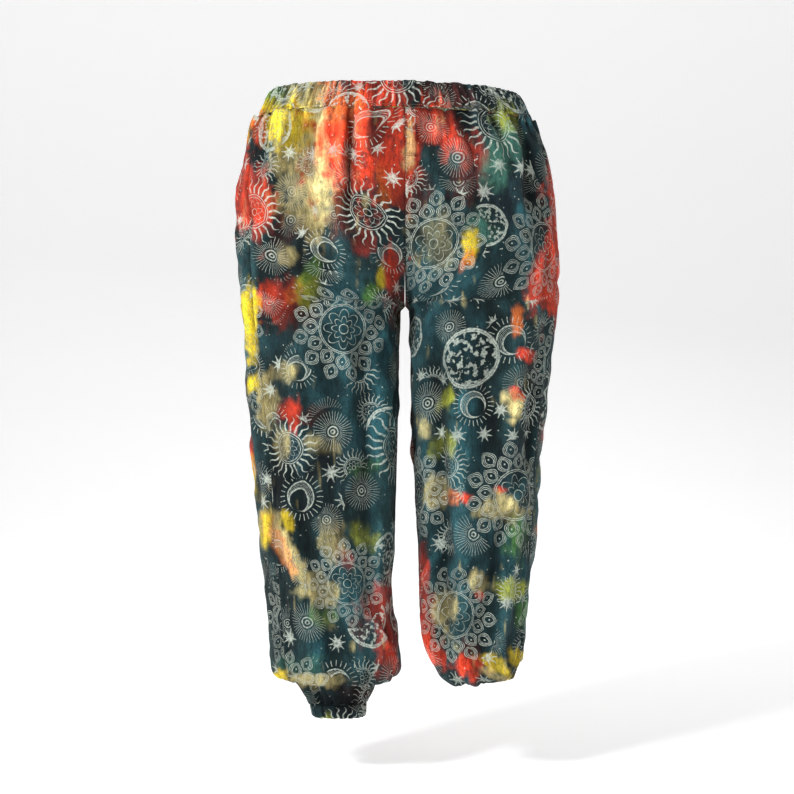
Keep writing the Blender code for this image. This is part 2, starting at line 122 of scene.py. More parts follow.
# folds, listed one by one: side, angle at top and bottom, top, bottom, depth, half width, lean
# angle is from the pure side, 90 in front, 180 inside, -90 behind; lean steepens the far side
folds = [
    ("right", 69.0, 71.0, -0.030, -0.215, 0.0050, 0.010, 0.6),      # pleat: ridge, then a sharp drop
    ("right", 72.4, 73.6, -0.030, -0.225, -0.0120, 0.0070, -0.5),
    ("right", 78, 80, -0.020, -0.200, 0.0050, 0.016, 0),
    ("right", 62, 64, -0.020, -0.240, 0.0060, 0.018, 0),
    ("right", 54, 58, -0.025, -0.190, -0.0060, 0.012, 0.3),
    ("right", 46, 55, -0.030, -0.330, -0.0060, 0.020, 0),
    ("right", 37, 42, -0.020, -0.150, 0.0050, 0.013, 0),
    ("right", 28, 34, -0.020, -0.170, -0.0060, 0.011, 0),
    ("right", 84, 96, -0.120, -0.290, -0.0040, 0.014, 0),
    ("right", 122, 128, -0.380, -0.860, -0.0090, 0.018, 0.3),
    ("right", 140, 132, -0.420, -0.900, 0.0080, 0.020, 0),
    ("right", 108, 112, -0.300, -0.600, 0.0045, 0.016, 0),
    ("right", 96, 92, -0.360, -0.640, -0.0045, 0.013, 0.3),
    ("right", 76, 70, -0.330, -0.600, 0.0040, 0.018, 0),
    ("right", 62, 88, -0.560, -0.900, -0.0080, 0.018, 0.4),
    ("right", 52, 74, -0.600, -0.890, 0.0070, 0.018, 0),
    ("right", 96, 112, -0.700, -0.905, 0.0045, 0.014, 0),
    ("right", 48, 45, -0.380, -0.700, -0.0040, 0.015, 0),
    ("right", -60, -66, -0.020, -0.320, -0.0080, 0.022, 0.2),
    ("right", -42, -48, -0.030, -0.260, 0.0070, 0.022, 0),
    ("right", -76, -80, -0.020, -0.220, -0.0060, 0.014, 0),
    ("right", -20, -26, -0.030, -0.240, -0.0060, 0.016, 0),
    ("right", -112, -104, -0.360, -0.820, -0.0100, 0.020, 0.3),
    ("right", -80, -86, -0.420, -0.900, 0.0080, 0.022, 0),
    ("right", -128, -136, -0.400, -0.760, 0.0060, 0.018, 0),
    ("right", -40, -50, -0.520, -0.880, -0.0070, 0.020, 0.3),
    ("right", -10, -16, -0.400, -0.800, 0.0060, 0.020, 0),
    ("right", 12, 8, -0.320, -0.780, -0.0060, 0.018, 0),
    ("left", 66, 62, -0.020, -0.230, -0.0075, 0.014, 0.4),
    ("left", 57, 54, -0.020, -0.190, 0.0055, 0.015, 0),
    ("left", 44, 50, -0.030, -0.300, 0.0060, 0.020, 0),
    ("left", 50, 47, -0.020, -0.160, -0.0060, 0.011, 0),
    ("left", 34, 36, -0.020, -0.200, -0.0070, 0.014, 0.3),
    ("left", 74, 70, -0.025, -0.150, 0.0050, 0.013, 0),
    ("left", 24, 27, -0.020, -0.160, 0.0050, 0.014, 0),
    ("left", 88, 112, -0.170, -0.310, -0.0050, 0.013, 0.3),
    ("left", 128, 120, -0.370, -0.840, -0.0090, 0.018, 0.3),
    ("left", 108, 98, -0.400, -0.880, 0.0070, 0.020, 0),
    ("left", 84, 80, -0.330, -0.600, -0.0045, 0.014, 0.3),
    ("left", 66, 62, -0.360, -0.660, 0.0045, 0.016, 0),
    ("left", 142, 138, -0.480, -0.800, 0.0050, 0.015, 0),
    ("left", 58, 84, -0.620, -0.880, -0.0080, 0.017, 0.4),
    ("left", 44, 60, -0.560, -0.860, 0.0060, 0.018, 0),
    ("left", 100, 128, -0.720, -0.885, -0.0060, 0.014, 0),
    ("left", 36, 34, -0.330, -0.620, -0.0050, 0.016, 0),
    ("left", -64, -58, -0.020, -0.300, -0.0080, 0.022, 0.2),
    ("left", -44, -40, -0.030, -0.260, 0.0070, 0.020, 0),
    ("left", -78, -74, -0.020, -0.210, 0.0060, 0.015, 0),
    ("left", -22, -28, -0.030, -0.230, -0.0060, 0.016, 0),
    ("left", -106, -114, -0.380, -0.800, -0.0100, 0.020, 0.3),
    ("left", -84, -78, -0.420, -0.870, 0.0080, 0.022, 0),
    ("left", -130, -126, -0.420, -0.760, 0.0060, 0.018, 0),
    ("left", -42, -52, -0.540, -0.860, -0.0070, 0.020, 0.3),
    ("left", -12, -18, -0.400, -0.780, 0.0060, 0.020, 0),
    ("left", 8, 6, -0.300, -0.760, -0.0060, 0.018, 0),
]
foldShape = {
    "strength": 1.3,
    "fadeTop": 0.045,
    "fadeBottom": 0.060,
    "steepness": 2.2,
    "seamHold": 0.030,        # folds die out this far from the centre seams
    "narrow": 0.04,           # and where a section's half width comes down to this
}


# smooth step: 3t^2 - 2t^3 between 0 and 1
def ease(t):
    t = np.clip(t, 0, 1)
    return t * t * (3 - 2 * t)


# bell curve: exp(-(distance / wide)^2)
def bell(distance, wide):
    return np.exp(-((distance / wide) ** 2))


# a sine or cosine made squarer: its size to a power, with its sign
def powered(wave):
    return np.sign(wave) * np.abs(wave) ** cut["squareness"]


# vectors divided by their lengths
def unit(vectors):
    return vectors / np.maximum(np.linalg.norm(vectors, axis=-1, keepdims=True), 1e-12)


# -1 on the wearer's right, 1 on the left
def sideSign(side):
    return -1.0 if side == "right" else 1.0


# cubic pieces through the knots; a knot's slope is 2ab / (a + b) of the slopes beside it, or nothing
# where they differ in sign, so the curve never overshoots
def smoothThrough(at, knots, values):
    span = np.diff(knots)
    slope = np.diff(values) / span
    before, after = slope[:-1], slope[1:]
    same = before * after > 0
    inner = np.zeros(len(before))
    inner[same] = 2 * before[same] * after[same] / (before[same] + after[same])
    tangent = np.concatenate([[slope[0]], inner, [slope[-1]]])
    at = np.clip(at, knots[0], knots[-1])
    i = np.clip(np.searchsorted(knots, at, side="right") - 1, 0, len(span) - 1)
    t = (at - knots[i]) / span[i]
    return (
        values[i] * (1 + 2 * t) * (1 - t) ** 2
        + tangent[i] * span[i] * t * (1 - t) ** 2
        + values[i + 1] * t * t * (3 - 2 * t)
        - tangent[i + 1] * span[i] * t * t * (1 - t)
    )


# a table's column as a smooth curve over height
def byHeight(rows, column, height):
    return smoothThrough(-np.asarray(height, float), -rows[:, 0], rows[:, column])


def hipAt(name, height):
    return byHeight(hips, hipColumn[name], height)


latticeSize = 64


# value noise on a lattice of seeded random numbers, -1 to 1: four corners mixed by smooth steps
def noise2(u, v, seed):
    lattice = np.random.default_rng(seed).random((latticeSize, latticeSize)) * 2 - 1
    iu, iv = np.floor(u).astype(int), np.floor(v).astype(int)
    fu, fv = ease(u - iu), ease(v - iv)
    near, far = [
        lattice[iu % latticeSize, (iv + up) % latticeSize] * (1 - fu)
        + lattice[(iu + 1) % latticeSize, (iv + up) % latticeSize] * fu
        for up in (0, 1)
    ]
    return near * (1 - fv) + far * fv


# layers of noise: the sum of share * noise(across / wide, along / tall)
def layered(across, along, seed, layers):
    return sum(share * noise2(across / wide, along / tall, seed + step) for wide, tall, share, step in layers)


# the waist rises with depth squared behind and evenly towards the right, and this fades down the hips
def waistLift(x, y, height):
    share = 1 - ease(-np.asarray(height) / cut["tiltFade"])
    back = np.maximum(y, 0) / hips[0, hipColumn["back"]]
    return (cut["waistRise"] * back**2 - cut["waistLean"] * x) * share


grid = {
    "hipRows": 92, "forkRows": 40, "legRows": 132, "blouseRows": 72, "columns": 128,
    "legCrowding": 1.25,      # leg rows lie closer near the fork
}
dips = ["dipFront", "dipOuter", "dipInner"]
sectionNames = ["height", "centre", "half", "front", "back"] + dips + ["turn"]


# one entry for each row from the waist seam to the cuff seam, as arrays; at the fork the depth is
# a - sqrt(a^2 - 2 sin) of the angle turned under, and each section keeps its outer edge
def sectionRows(side):
    sign = sideSign(side)
    seam = cut["casingTop"] - cut["casingHeight"]
    heights = np.linspace(seam, cut["riseTop"], grid["hipRows"] + 1)
    under = np.linspace(0, 90, grid["forkRows"] + 1)[1:]
    down = cut["turnUnder"] - np.sqrt(cut["turnUnder"] ** 2 - 2 * np.sin(np.radians(under)))
    heights = np.append(heights, cut["riseTop"] + (cut["crotch"] - cut["riseTop"]) * down)
    turn = np.append(np.full(grid["hipRows"] + 1, 90.0), 90 + under)
    outer = sign * hipAt(side, heights)
    reach = (outer - cut["forkX"]) / (1 - powered(np.cos(np.radians(turn))))
    nothing = np.zeros(len(heights))
    upper = [heights, outer - reach, np.abs(reach), hipAt("front", heights), hipAt("back", heights)]
    upper += [nothing, nothing, nothing, turn]

    leg, blouse = legs[side], blouses[side]
    spread = np.linspace(0, 1, grid["legRows"] + 1)[1:] ** grid["legCrowding"]
    legHeights = cut["crotch"] + (leg[-1, 0] - cut["crotch"]) * spread
    legPart = [legHeights] + [byHeight(leg, column, legHeights) for column in range(1, 8)]
    share = np.linspace(0, 1, grid["blouseRows"] + 1)[1:]
    knots = np.linspace(0, 1, len(blouse))
    blousePart = [smoothThrough(share, knots, blouse[:, column]) for column in range(8)]
    height, out, inner, front, back, *dipped = [np.append(a, b) for a, b in zip(legPart, blousePart)]
    lower = [height, (out + inner) / 2, np.abs(out - inner) / 2, -front, back, *dipped]
    lower.append(np.full(len(height), 180.0))
    return {name: np.append(a, b)[:, None] for name, a, b in zip(sectionNames, upper, lower)}


# a fold is depth * exp(-across^2), leant by tanh, and eased in and out along its run
def foldDepth(side, angle, height, half):
    total = np.zeros_like(angle)
    for name, top, bottom, high, low, depth, spread, lean in folds:
        if name != side:
            continue
        share = np.clip((high - height) / (high - low), 0, 1)
        apart = (angle - (top + (bottom - top) * share) + 180) % 360 - 180
        across = np.radians(apart) * half / spread
        run = ease((high - height) / foldShape["fadeTop"]) * ease((height - low) / foldShape["fadeBottom"])
        leant = 1 + lean * np.tanh(foldShape["steepness"] * across)
        total += foldShape["strength"] * depth * np.exp(-across**2) * leant * run
    return total


# points of the smooth form: centre + half * cos, depth * sin, both squared a little, pushed out by
# the folds and let down by the dips
def formPoints(side, rows, angle):
    sign = sideSign(side)
    turn = np.radians(angle)
    depth = np.where(angle >= 0, rows["front"], rows["back"])
    x = rows["centre"] + sign * rows["half"] * powered(np.cos(turn))
    y = -depth * powered(np.sin(turn))
    out = unit(np.stack([sign * np.cos(turn) / rows["half"], -np.sin(turn) / depth], axis=-1))
    mean = (rows["half"] + rows["front"]) / 2
    held = np.where(rows["turn"] < 180, ease(np.abs(x - cut["forkX"]) / foldShape["seamHold"]), 1.0)
    held = held * ease((rows["half"] - foldShape["narrow"]) / foldShape["narrow"])
    moved = foldDepth(side, angle, rows["height"], mean) * held
    x, y = x + out[..., 0] * moved, y + out[..., 1] * moved
    dip = rows["dipFront"] * np.clip(np.sin(turn), 0, 1)
    dip = dip + rows["dipOuter"] * np.clip(np.cos(turn), 0, 1) ** 2
    dip = dip + rows["dipInner"] * np.clip(-np.cos(turn), 0, 1) ** 2
    return np.stack([x, y, rows["height"] - dip + waistLift(x, y, rows["height"])], axis=-1)


# dye: patches brushed on by hand over a dark ground
hues = {
    "ground": (0.010, 0.029, 0.032),
    "navy": (0.007, 0.014, 0.019),
    "teal": (0.020, 0.085, 0.102),
    "sea": (0.035, 0.110, 0.080),
    "green": (0.075, 0.190, 0.030),
    "lime": (0.360, 0.390, 0.035),
    "yellow": (0.820, 0.600, 0.022),
    "cream": (0.760, 0.630, 0.265),
    "orange": (0.760, 0.170, 0.026),
    "red": (0.640, 0.048, 0.018),
    "brick": (0.330, 0.030, 0.016),
    "maroon": (0.060, 0.012, 0.010),
    "black": (0.006, 0.007, 0.008),
}
# across from the middle (+ is the wearer's left), down from the top edge, half sizes: centimetres as
# seen from the front; tilt leans the lower end towards +; strength
patches = [
    (16.5, 12.0, 7.0, 13.0, 0, "navy", 0.8), (19.0, 34.0, 5.0, 8.0, 0, "ground", 0.8),
    (-6.0, 48.0, 9.0, 14.0, 0, "teal", 0.45), (9.0, 36.0, 6.0, 9.0, 0, "teal", 0.40),
    (-14.0, 62.0, 7.0, 7.0, 0, "navy", 0.7), (12.0, 75.0, 7.0, 8.0, 0, "teal", 0.40),
    (-8.0, 84.0, 6.0, 8.0, 0, "teal", 0.35), (-2.0, 22.0, 7.0, 7.0, 0, "navy", 0.6),
    (-13.2, 10.4, 6.0, 12.0, 4, "cream", 1.0), (-17.7, 6.6, 4.4, 3.8, -20, "yellow", 0.95),
    (-14.0, 19.5, 3.2, 4.0, 10, "cream", 0.7), (-18.5, 19.0, 1.8, 2.2, 0, "cream", 0.8),
    (-19.0, 2.0, 1.6, 1.8, 0, "green", 0.9), (-21.0, 8.0, 1.3, 2.2, 0, "red", 0.9),
    (-21.6, 11.6, 1.2, 2.4, 0, "black", 0.95), (-22.2, 18.6, 3.6, 6.0, 5, "red", 1.0),
    (-17.5, 23.8, 3.0, 1.8, 20, "maroon", 0.6), (-17.0, 26.6, 1.6, 1.6, 0, "cream", 0.6),
    (-6.0, 8.6, 7.4, 10.6, 0, "red", 1.0), (-9.0, 4.0, 3.0, 2.6, 0, "orange", 0.5),
    (-3.6, 8.7, 1.0, 3.0, 0, "maroon", 0.85), (-8.3, 14.5, 1.3, 4.5, 0, "brick", 0.7),
    (-9.2, 21.0, 2.4, 5.0, 0, "maroon", 0.9), (-1.8, 17.0, 1.6, 3.4, 0, "orange", 0.6),
    (0.8, 13.5, 2.8, 6.0, 0, "red", 0.95), (7.3, 2.6, 5.4, 2.2, 0, "maroon", 0.95),
    (6.3, 7.7, 3.4, 3.8, 15, "red", 0.95), (10.5, 10.2, 2.6, 2.4, 30, "red", 0.75),
    (10.7, 14.5, 2.6, 4.6, 0, "maroon", 0.8), (1.9, 11.0, 0.9, 3.6, 0, "cream", 0.6),
    (3.4, 18.6, 2.6, 2.8, 0, "maroon", 0.7), (5.8, 24.8, 3.0, 4.6, 0, "cream", 0.22),
    (17.0, 6.4, 2.0, 1.8, 10, "lime", 0.9), (16.3, 11.0, 3.2, 4.6, 0, "sea", 0.8),
    (19.8, 20.5, 1.4, 2.4, 0, "teal", 0.8), (13.4, 24.0, 2.4, 3.0, 0, "sea", 0.6),
    (11.4, 26.6, 1.7, 2.2, 0, "yellow", 0.85), (11.0, 28.4, 1.2, 1.2, 0, "orange", 0.7),
    (24.3, 26.0, 1.5, 13.5, 0, "red", 0.95), (23.2, 31.0, 1.9, 6.0, -8, "red", 0.8),
    (19.3, 37.6, 0.9, 2.6, 0, "orange", 0.7), (20.2, 43.6, 1.1, 1.2, 0, "red", 0.8),
    (-18.4, 35.0, 3.4, 3.4, -10, "red", 0.95), (-15.2, 37.0, 3.8, 2.8, 15, "maroon", 0.85),
    (-16.4, 33.8, 1.6, 1.3, 0, "orange", 0.6), (-13.7, 33.2, 1.9, 3.2, 0, "lime", 0.75),
    (-13.4, 29.6, 1.4, 2.2, 0, "green", 0.7), (-10.1, 40.4, 2.4, 7.2, 0, "teal", 0.75),
    (-23.4, 37.8, 1.5, 4.6, 0, "yellow", 1.0), (-22.4, 47.2, 1.3, 1.5, 0, "yellow", 0.9),
    (-20.4, 51.0, 1.2, 5.6, 4, "cream", 0.9), (-18.6, 45.6, 2.6, 1.4, 0, "cream", 0.6),
    (-16.3, 53.0, 2.0, 2.5, 0, "red", 0.85), (-13.2, 53.0, 2.2, 1.8, 0, "maroon", 0.85),
    (-12.0, 57.6, 2.2, 1.3, 0, "cream", 0.35), (-18.4, 57.8, 1.4, 3.0, 0, "cream", 0.45),
    (-0.4, 31.0, 1.8, 4.4, 0, "red", 0.95), (-2.8, 31.6, 1.2, 2.0, 0, "yellow", 0.85),
    (-4.3, 33.4, 1.5, 2.0, 0, "green", 0.8), (-5.6, 26.2, 1.5, 1.6, 0, "brick", 0.6),
    (-0.5, 36.6, 1.1, 1.8, 0, "maroon", 0.8), (-5.5, 61.0, 3.0, 1.6, 0, "green", 0.35),
    (-16.7, 75.0, 1.4, 9.6, 27, "cream", 0.80), (-18.6, 73.0, 1.0, 5.0, 24, "orange", 0.6),
    (-20.6, 70.6, 1.0, 2.8, 0, "yellow", 0.85), (-16.9, 70.4, 1.2, 1.4, 0, "yellow", 0.65),
    (-9.8, 73.0, 1.9, 2.8, 0, "cream", 0.5), (-8.6, 75.6, 1.4, 1.4, 0, "brick", 0.5),
    (-5.6, 71.4, 2.0, 2.0, 0, "lime", 0.5), (-12.4, 80.8, 3.0, 1.6, 10, "cream", 0.45),
    (-11.6, 84.8, 1.8, 1.5, 0, "green", 0.6), (-3.6, 82.6, 2.8, 3.0, 0, "brick", 0.85),
    (-1.6, 88.2, 1.9, 5.4, 0, "brick", 0.95), (-1.2, 89.6, 1.0, 2.0, 0, "red", 0.7),
    (-6.0, 87.0, 1.8, 3.0, 0, "maroon", 0.6),
    (-14.4, 92.6, 4.8, 1.5, 0, "sea", 0.6), (-18.4, 95.2, 1.9, 1.3, 16, "yellow", 1.0),
    (-12.6, 94.4, 4.6, 1.0, 3, "cream", 0.75), (-6.0, 96.6, 3.0, 1.8, 0, "maroon", 0.7),
    (-9.0, 98.2, 5.4, 2.4, 0, "navy", 0.9), (-11.2, 100.6, 1.9, 0.8, 0, "lime", 0.7),
    (7.6, 51.0, 1.3, 1.6, 0, "lime", 0.85), (10.7, 52.0, 2.2, 1.4, 0, "teal", 0.8),
    (18.2, 52.2, 1.6, 1.8, 0, "cream", 0.7), (19.0, 50.6, 0.9, 1.0, 0, "red", 0.7),
    (6.8, 57.0, 2.0, 1.9, 0, "lime", 0.6), (5.0, 54.6, 1.4, 2.2, 0, "cream", 0.6),
    (17.9, 60.2, 2.1, 3.4, 0, "navy", 0.8), (8.7, 65.6, 1.7, 1.2, 0, "orange", 0.65),
    (6.0, 64.6, 1.8, 2.4, 0, "cream", 0.6), (10.7, 65.7, 0.8, 0.7, 0, "red", 0.85),
    (16.3, 65.0, 0.8, 0.7, 0, "red", 0.85), (16.3, 67.8, 3.4, 2.0, -12, "cream", 0.75),
    (19.0, 72.5, 1.8, 3.0, 0, "green", 0.5), (4.2, 77.0, 1.1, 3.6, 0, "brick", 0.9),
    (4.5, 86.0, 1.4, 8.6, 4, "brick", 0.9), (5.0, 91.6, 1.5, 3.0, 20, "red", 0.8),
    (7.4, 84.0, 1.6, 2.8, 0, "cream", 0.55), (13.1, 80.2, 1.9, 2.1, 0, "cream", 0.7),
    (13.1, 82.8, 1.0, 0.7, 0, "red", 0.8), (17.9, 80.6, 1.8, 1.9, 0, "lime", 0.8),
    (19.3, 84.6, 1.3, 2.4, 0, "green", 0.6), (11.1, 89.4, 2.1, 2.3, 0, "maroon", 0.85),
    (11.7, 93.2, 3.0, 2.2, -8, "red", 1.0), (15.4, 92.2, 2.2, 1.5, 0, "yellow", 0.9),
    (18.8, 91.2, 0.9, 1.3, 0, "yellow", 0.9), (16.0, 94.4, 2.6, 0.9, 0, "cream", 0.6),
]
eye = {"away": 3.0, "height": -0.472, "top": 0.030}    # where the front is seen from, and its top edge

# behind, a seeded scatter of the same colours, in centimetres too
backDye = {
    "seed": 41, "count": 125, "across": 26, "down": 100,
    "wide": (0.8, 4.2), "tall": (1.0, 6.5), "tilt": 14, "strength": (0.5, 1.0),
    "hues": ["cream", "yellow", "red", "red", "orange", "brick", "maroon", "maroon", "lime", "green",
             "sea", "teal", "teal", "teal", "navy", "navy", "cream", "red"],
}
# layers of noise in centimetres: width, length, share and seed of each
brush = {
    "ragged": [(1.5, 3.2, 0.34, 0), (0.50, 1.5, 0.26, 1)],
    "raggedAslant": [(1.0, 0.6, 0.20, 6)],
    "wanderX": [(3.5, 4.5, 0.9, 2), (1.1, 1.4, 0.35, 3)],
    "wanderY": [(4.5, 5.5, 1.4, 4), (1.2, 1.6, 0.5, 5)],
    "thin": [(0.42, 2.6, 0.34, 7)],
    "full": 0.92,
    "reach": 1.40,            # a patch ends this many half sizes out
    "soft": 0.85,
}
dyeing = {
    "streak": [(0.8, 6.0, 0.6, 3), (2.6, 9.0, 0.6, 4), (0.9, 1.1, 0.35, 5)],
    "streakDepth": 0.8,
    "tealer": [(4.0, 7.0, 1.2, 6)],
    "bare": [(0.45, 3.2, 1.0, 70), (1.7, 4.4, 0.7, 71)],           # pale crinkle streaks
    "bareWhere": [(5.0, 6.0, 1.6, 72)],
    "fleck": [(0.75, 1.5, 1.0, 73), (0.32, 0.55, 0.65, 74)],       # dark flecks in the pale
    "fleckWhere": [(3.1, 4.2, 1.4, 75)],
    "pool": [(0.28, 1.7, 0.16, 80), (0.7, 0.7, 0.14, 81)],         # dye pooled in fine creases
    "paintedLightShadeGain": 0.62,          # painted shade in the hollows of folds and painted light on the ridges, at this strength
    "frontEnds": (-0.015, 0.05),
}


# rows like those of patches, drawn by lot
def backPatches():
    rng = np.random.default_rng(backDye["seed"])
    made = []
    for i in range(backDye["count"]):
        tall = rng.uniform(*backDye["tall"])
        made.append((
            rng.uniform(-backDye["across"], backDye["across"]), rng.uniform(0, backDye["down"]),
            rng.uniform(*backDye["wide"]), tall, rng.normal(0, backDye["tilt"]),
            backDye["hues"][int(rng.integers(len(backDye["hues"])))], rng.uniform(*backDye["strength"]),
        ))
    return made


# a patch covers where its stretched distance, made ragged by noise, is below its reach
def brushed(colour, across, down, rows, share, seed):
    ragged = layered(across, down, seed, brush["ragged"])
    ragged += layered(across / 0.9 + down / 2.2, down, seed, brush["raggedAslant"])
    wanderX = layered(across, down, seed, brush["wanderX"])
    wanderY = layered(across, down, seed, brush["wanderY"])
    thin = np.clip(brush["full"] + layered(across, down, seed, brush["thin"]), 0, 1)
    for x, y, wide, tall, tilt, hue, strength in rows:
        a, b = across + wanderX - x, down + wanderY - y
        s, c = math.sin(math.radians(tilt)), math.cos(math.radians(tilt))
        far = np.sqrt(((a * c - b * s) / wide) ** 2 + ((a * s + b * c) / tall) ** 2)
        cover = ease((brush["reach"] - far - ragged) / brush["soft"]) * strength * share * thin
        colour += cover[:, None] * (np.array(hues[hue]) - colour)
    return colour


# the dye at each point: ground, patches in front and behind, streaks and flecks, and then a factor
# exp(pool + gain * painted light and shade): painted shade darkens hollows, seams and cloth turned under,
# painted light makes ridges paler
def dyeWithPaintedShadeAt(points, paintedLightAndShade):
    x, y, z = points.reshape(-1, 3).T
    shrink = eye["away"] / (eye["away"] + y)
    across = x * shrink * 100
    down = (eye["top"] - (z - eye["height"]) * shrink - eye["height"]) * 100

    def layer(name):
        return layered(across, down, 0, dyeing[name])

    ground = np.array(hues["ground"]) * np.exp(layer("streak") * dyeing["streakDepth"])[:, None]
    ground += ease(layer("tealer") - 0.1)[:, None] * 0.55 * (np.array(hues["teal"]) - ground)
    start, length = dyeing["frontEnds"]
    frontShare = 1 - ease((y - start) / length)
    colour = brushed(ground.copy(), across, down, patches, frontShare, 20)
    colour = brushed(colour, across, down, backPatches(), 1 - frontShare, 50)
    bare = ease((layer("bare") - 0.80) / 0.55) * ease(layer("bareWhere") + 0.25)
    colour += (0.42 * bare)[:, None] * (np.array(hues["cream"]) - colour)
    fleck = ease((layer("fleck") - 0.62) / 0.40) * ease(layer("fleckWhere") + 0.45)
    colour += (0.55 * fleck)[:, None] * (np.array(hues["ground"]) - colour)
    # painted shade in the hollows and painted light on the ridges, multiplied into the dye
    colour *= np.exp(layer("pool") + dyeing["paintedLightShadeGain"] * np.clip(paintedLightAndShade, -1.5, 1.0))[:, None]
    return np.clip(colour, 0, 1)


# a mesh from points and faces, with the cloth's own coordinates and its dye, with painted light and shade
# multiplied in
def addMesh(name, points, faces, uv, paintedLightAndShade=0.0):
    mesh = bpy.data.meshes.new(name)
    size = faces.shape[1]
    mesh.vertices.add(len(points))
    mesh.vertices.foreach_set("co", points.astype(np.float32).ravel())
    mesh.loops.add(faces.size)
    mesh.loops.foreach_set("vertex_index", faces.astype(np.int32).ravel())
    mesh.polygons.add(len(faces))
    mesh.polygons.foreach_set("loop_start", np.arange(0, faces.size, size, dtype=np.int32))
    mesh.update(calc_edges=True)
    layer = mesh.uv_layers.new(name="cloth")
    layer.data.foreach_set("uv", uv[faces.ravel()].astype(np.float32).ravel())
    dyeAndPaintedShade = mesh.attributes.new("dyeAndPaintedShade", "FLOAT_COLOR", "POINT")
    colour = np.ones((len(points), 4))
    colour[:, :3] = dyeWithPaintedShadeAt(points, paintedLightAndShade)
    dyeAndPaintedShade.data.foreach_set("color", colour.astype(np.float32).ravel())
    mesh.validate()
    mesh.shade_smooth()
    made = bpy.data.objects.new(name, mesh)
    bpy.context.scene.collection.objects.link(made)
    return made


# a closed wall from two grids, anticlockwise from above and downwards; the rims join them
def addWall(name, outer, inner, uv, paintedLightAndShade):
    rows, columns = outer.shape[:2]
    index = np.arange(rows * columns).reshape(rows, columns)
    left, right = index[:, :-1], index[:, 1:]
    skin = np.stack([left[:-1], left[1:], right[1:], right[:-1]], axis=-1).reshape(-1, 4)
    shift = rows * columns
    faces = [skin, skin[:, ::-1] + shift]
    rims = [(left[0], right[0], 1), (left[-1], right[-1], -1)]
    rims += [(index[:-1, 0], index[1:, 0], -1), (index[:-1, -1], index[1:, -1], 1)]
    for start, end, turn in rims:
        faces.append(np.stack([end + shift, start + shift, start, end], axis=-1)[:, ::turn])
    points = np.concatenate([outer.reshape(-1, 3), inner.reshape(-1, 3)])
    uv = np.concatenate([uv.reshape(-1, 2)] * 2)
    return addMesh(name, points, np.concatenate(faces), uv, np.concatenate([paintedLightAndShade.ravel()] * 2))


# relief of the cloth: heights and runs in metres
relief = {
    "gather": 0.0058,         # soft gathers below the casing
    "gatherRun": 0.120,
    "gatherFade": 1.2,
    "tuck": 0.0020,           # small tight tucks at the stitching
    "tuckRun": 0.040,
    "wave": 0.0036,           # long soft vertical waves
    "waveTop": 0.10,
    "waveBottom": 0.06,
    "cuffGather": 0.0042,
    "cuffRun": 0.095,
    "crinkle": 0.0011,
    "slant": 0.0034,          # shorter wrinkles that run aslant
    "slantTop": 0.05,
    "seamDip": 0.0016,
    "seamWide": 0.0022,
    "seamFlat": 0.010,        # the relief dies out this near a seam
}
# its noise: width and length of a bump, share, step of the seed
bumps = {
    "sway": [(0.09, 0.2, 0.010, 0)],
    "gather": [(0.0085, 0.11, 1.0, 1), (0.017, 0.17, 0.8, 2)],
    "reach": [(0.03, 1.0, 0.5, 3)],
    "tuck": [(0.0040, 0.03, 1.0, 21)],
    "wave": [(0.034, 0.42, 1.0, 4), (0.019, 0.30, 0.5, 5)],
    "cuffGather": [(0.0055, 0.09, 1.0, 6), (0.011, 0.12, 0.8, 7)],
    "crinkle": [(0.0085, 0.034, 1.0, 8), (0.014, 0.012, 0.6, 9)],
}
# wrinkles aslant: cosine and sine of their turn, their noise, where they show and how readily
slants = [
    (0.86, 0.5, [(0.017, 0.075, 1.0, 10)], [(0.06, 0.08, 1.5, 12)], 0.4),
    (0.80, -0.6, [(0.015, 0.060, 1.0, 11)], [(0.05, 0.09, 1.5, 13)], 0.3),
]


# how far the cloth stands off the form: the sum of height * noise * fade for each kind of crease
def reliefOf(side, face, across, along, left, bottomAcross):
    seed = {"right": 100, "left": 200}[side] + {"front": 0, "back": 50}[face]
    sway = layered(along, across, seed, bumps["sway"])
    top, bottom = across + sway * 0.35, bottomAcross + sway * 0.2

    def bumpsAt(name):
        return layered(top, along, seed, bumps[name])

    reach = relief["gatherRun"] * (0.75 + layered(top, 0 * top, seed, bumps["reach"]))
    moved = relief["gather"] * bumpsAt("gather") * (1 - ease(along / reach)) ** relief["gatherFade"]
    moved = moved + relief["tuck"] * bumpsAt("tuck") * (1 - ease(along / relief["tuckRun"]))
    hanging = ease(along / relief["waveTop"]) * ease(left / relief["waveBottom"])
    moved = moved + relief["wave"] * bumpsAt("wave") * hanging
    drawnIn = (1 - ease(left / relief["cuffRun"])) * ease(left / 0.004 + 0.25)
    moved = moved + relief["cuffGather"] * layered(bottom, left, seed, bumps["cuffGather"]) * drawnIn
    aslant = 0
    for cosine, sine, noise, where, ready in slants:
        p, q = top * cosine + along * sine, along * cosine - top * sine
        aslant = aslant + layered(p, q, seed, noise) * ease(layered(top, along, seed, where) + ready)
    moved = moved + relief["crinkle"] * bumpsAt("crinkle")
    return moved + relief["slant"] * aslant * ease(along / relief["slantTop"])


# running length along an axis of a grid of points, from nothing
def arcLength(points, axis):
    step = np.linalg.norm(np.diff(points, axis=axis), axis=-1)
    start = np.zeros_like(np.take(step, [0], axis=axis))
    return np.concatenate([start, np.cumsum(step, axis=axis)], axis=axis)


panels = {
    "edge": (0, 0.0035, 0.008, 0.014),    # columns crowd at the seams: shares of the width
    "inset": 0.022,
    "tipRows": 8,                         # at the fork's point the cloth faces inwards and down
    "tipShare": 0.1,
    "hang": 0.34,                         # the blouse turns under here: share of its rows
    "hangBlend": 0.10,
    "reliefShade": 0.0034,                # height that shades by one step
    "foldShade": 0.0062,
    "level": 0.0005,
    "centreGap": 0.0001,
}


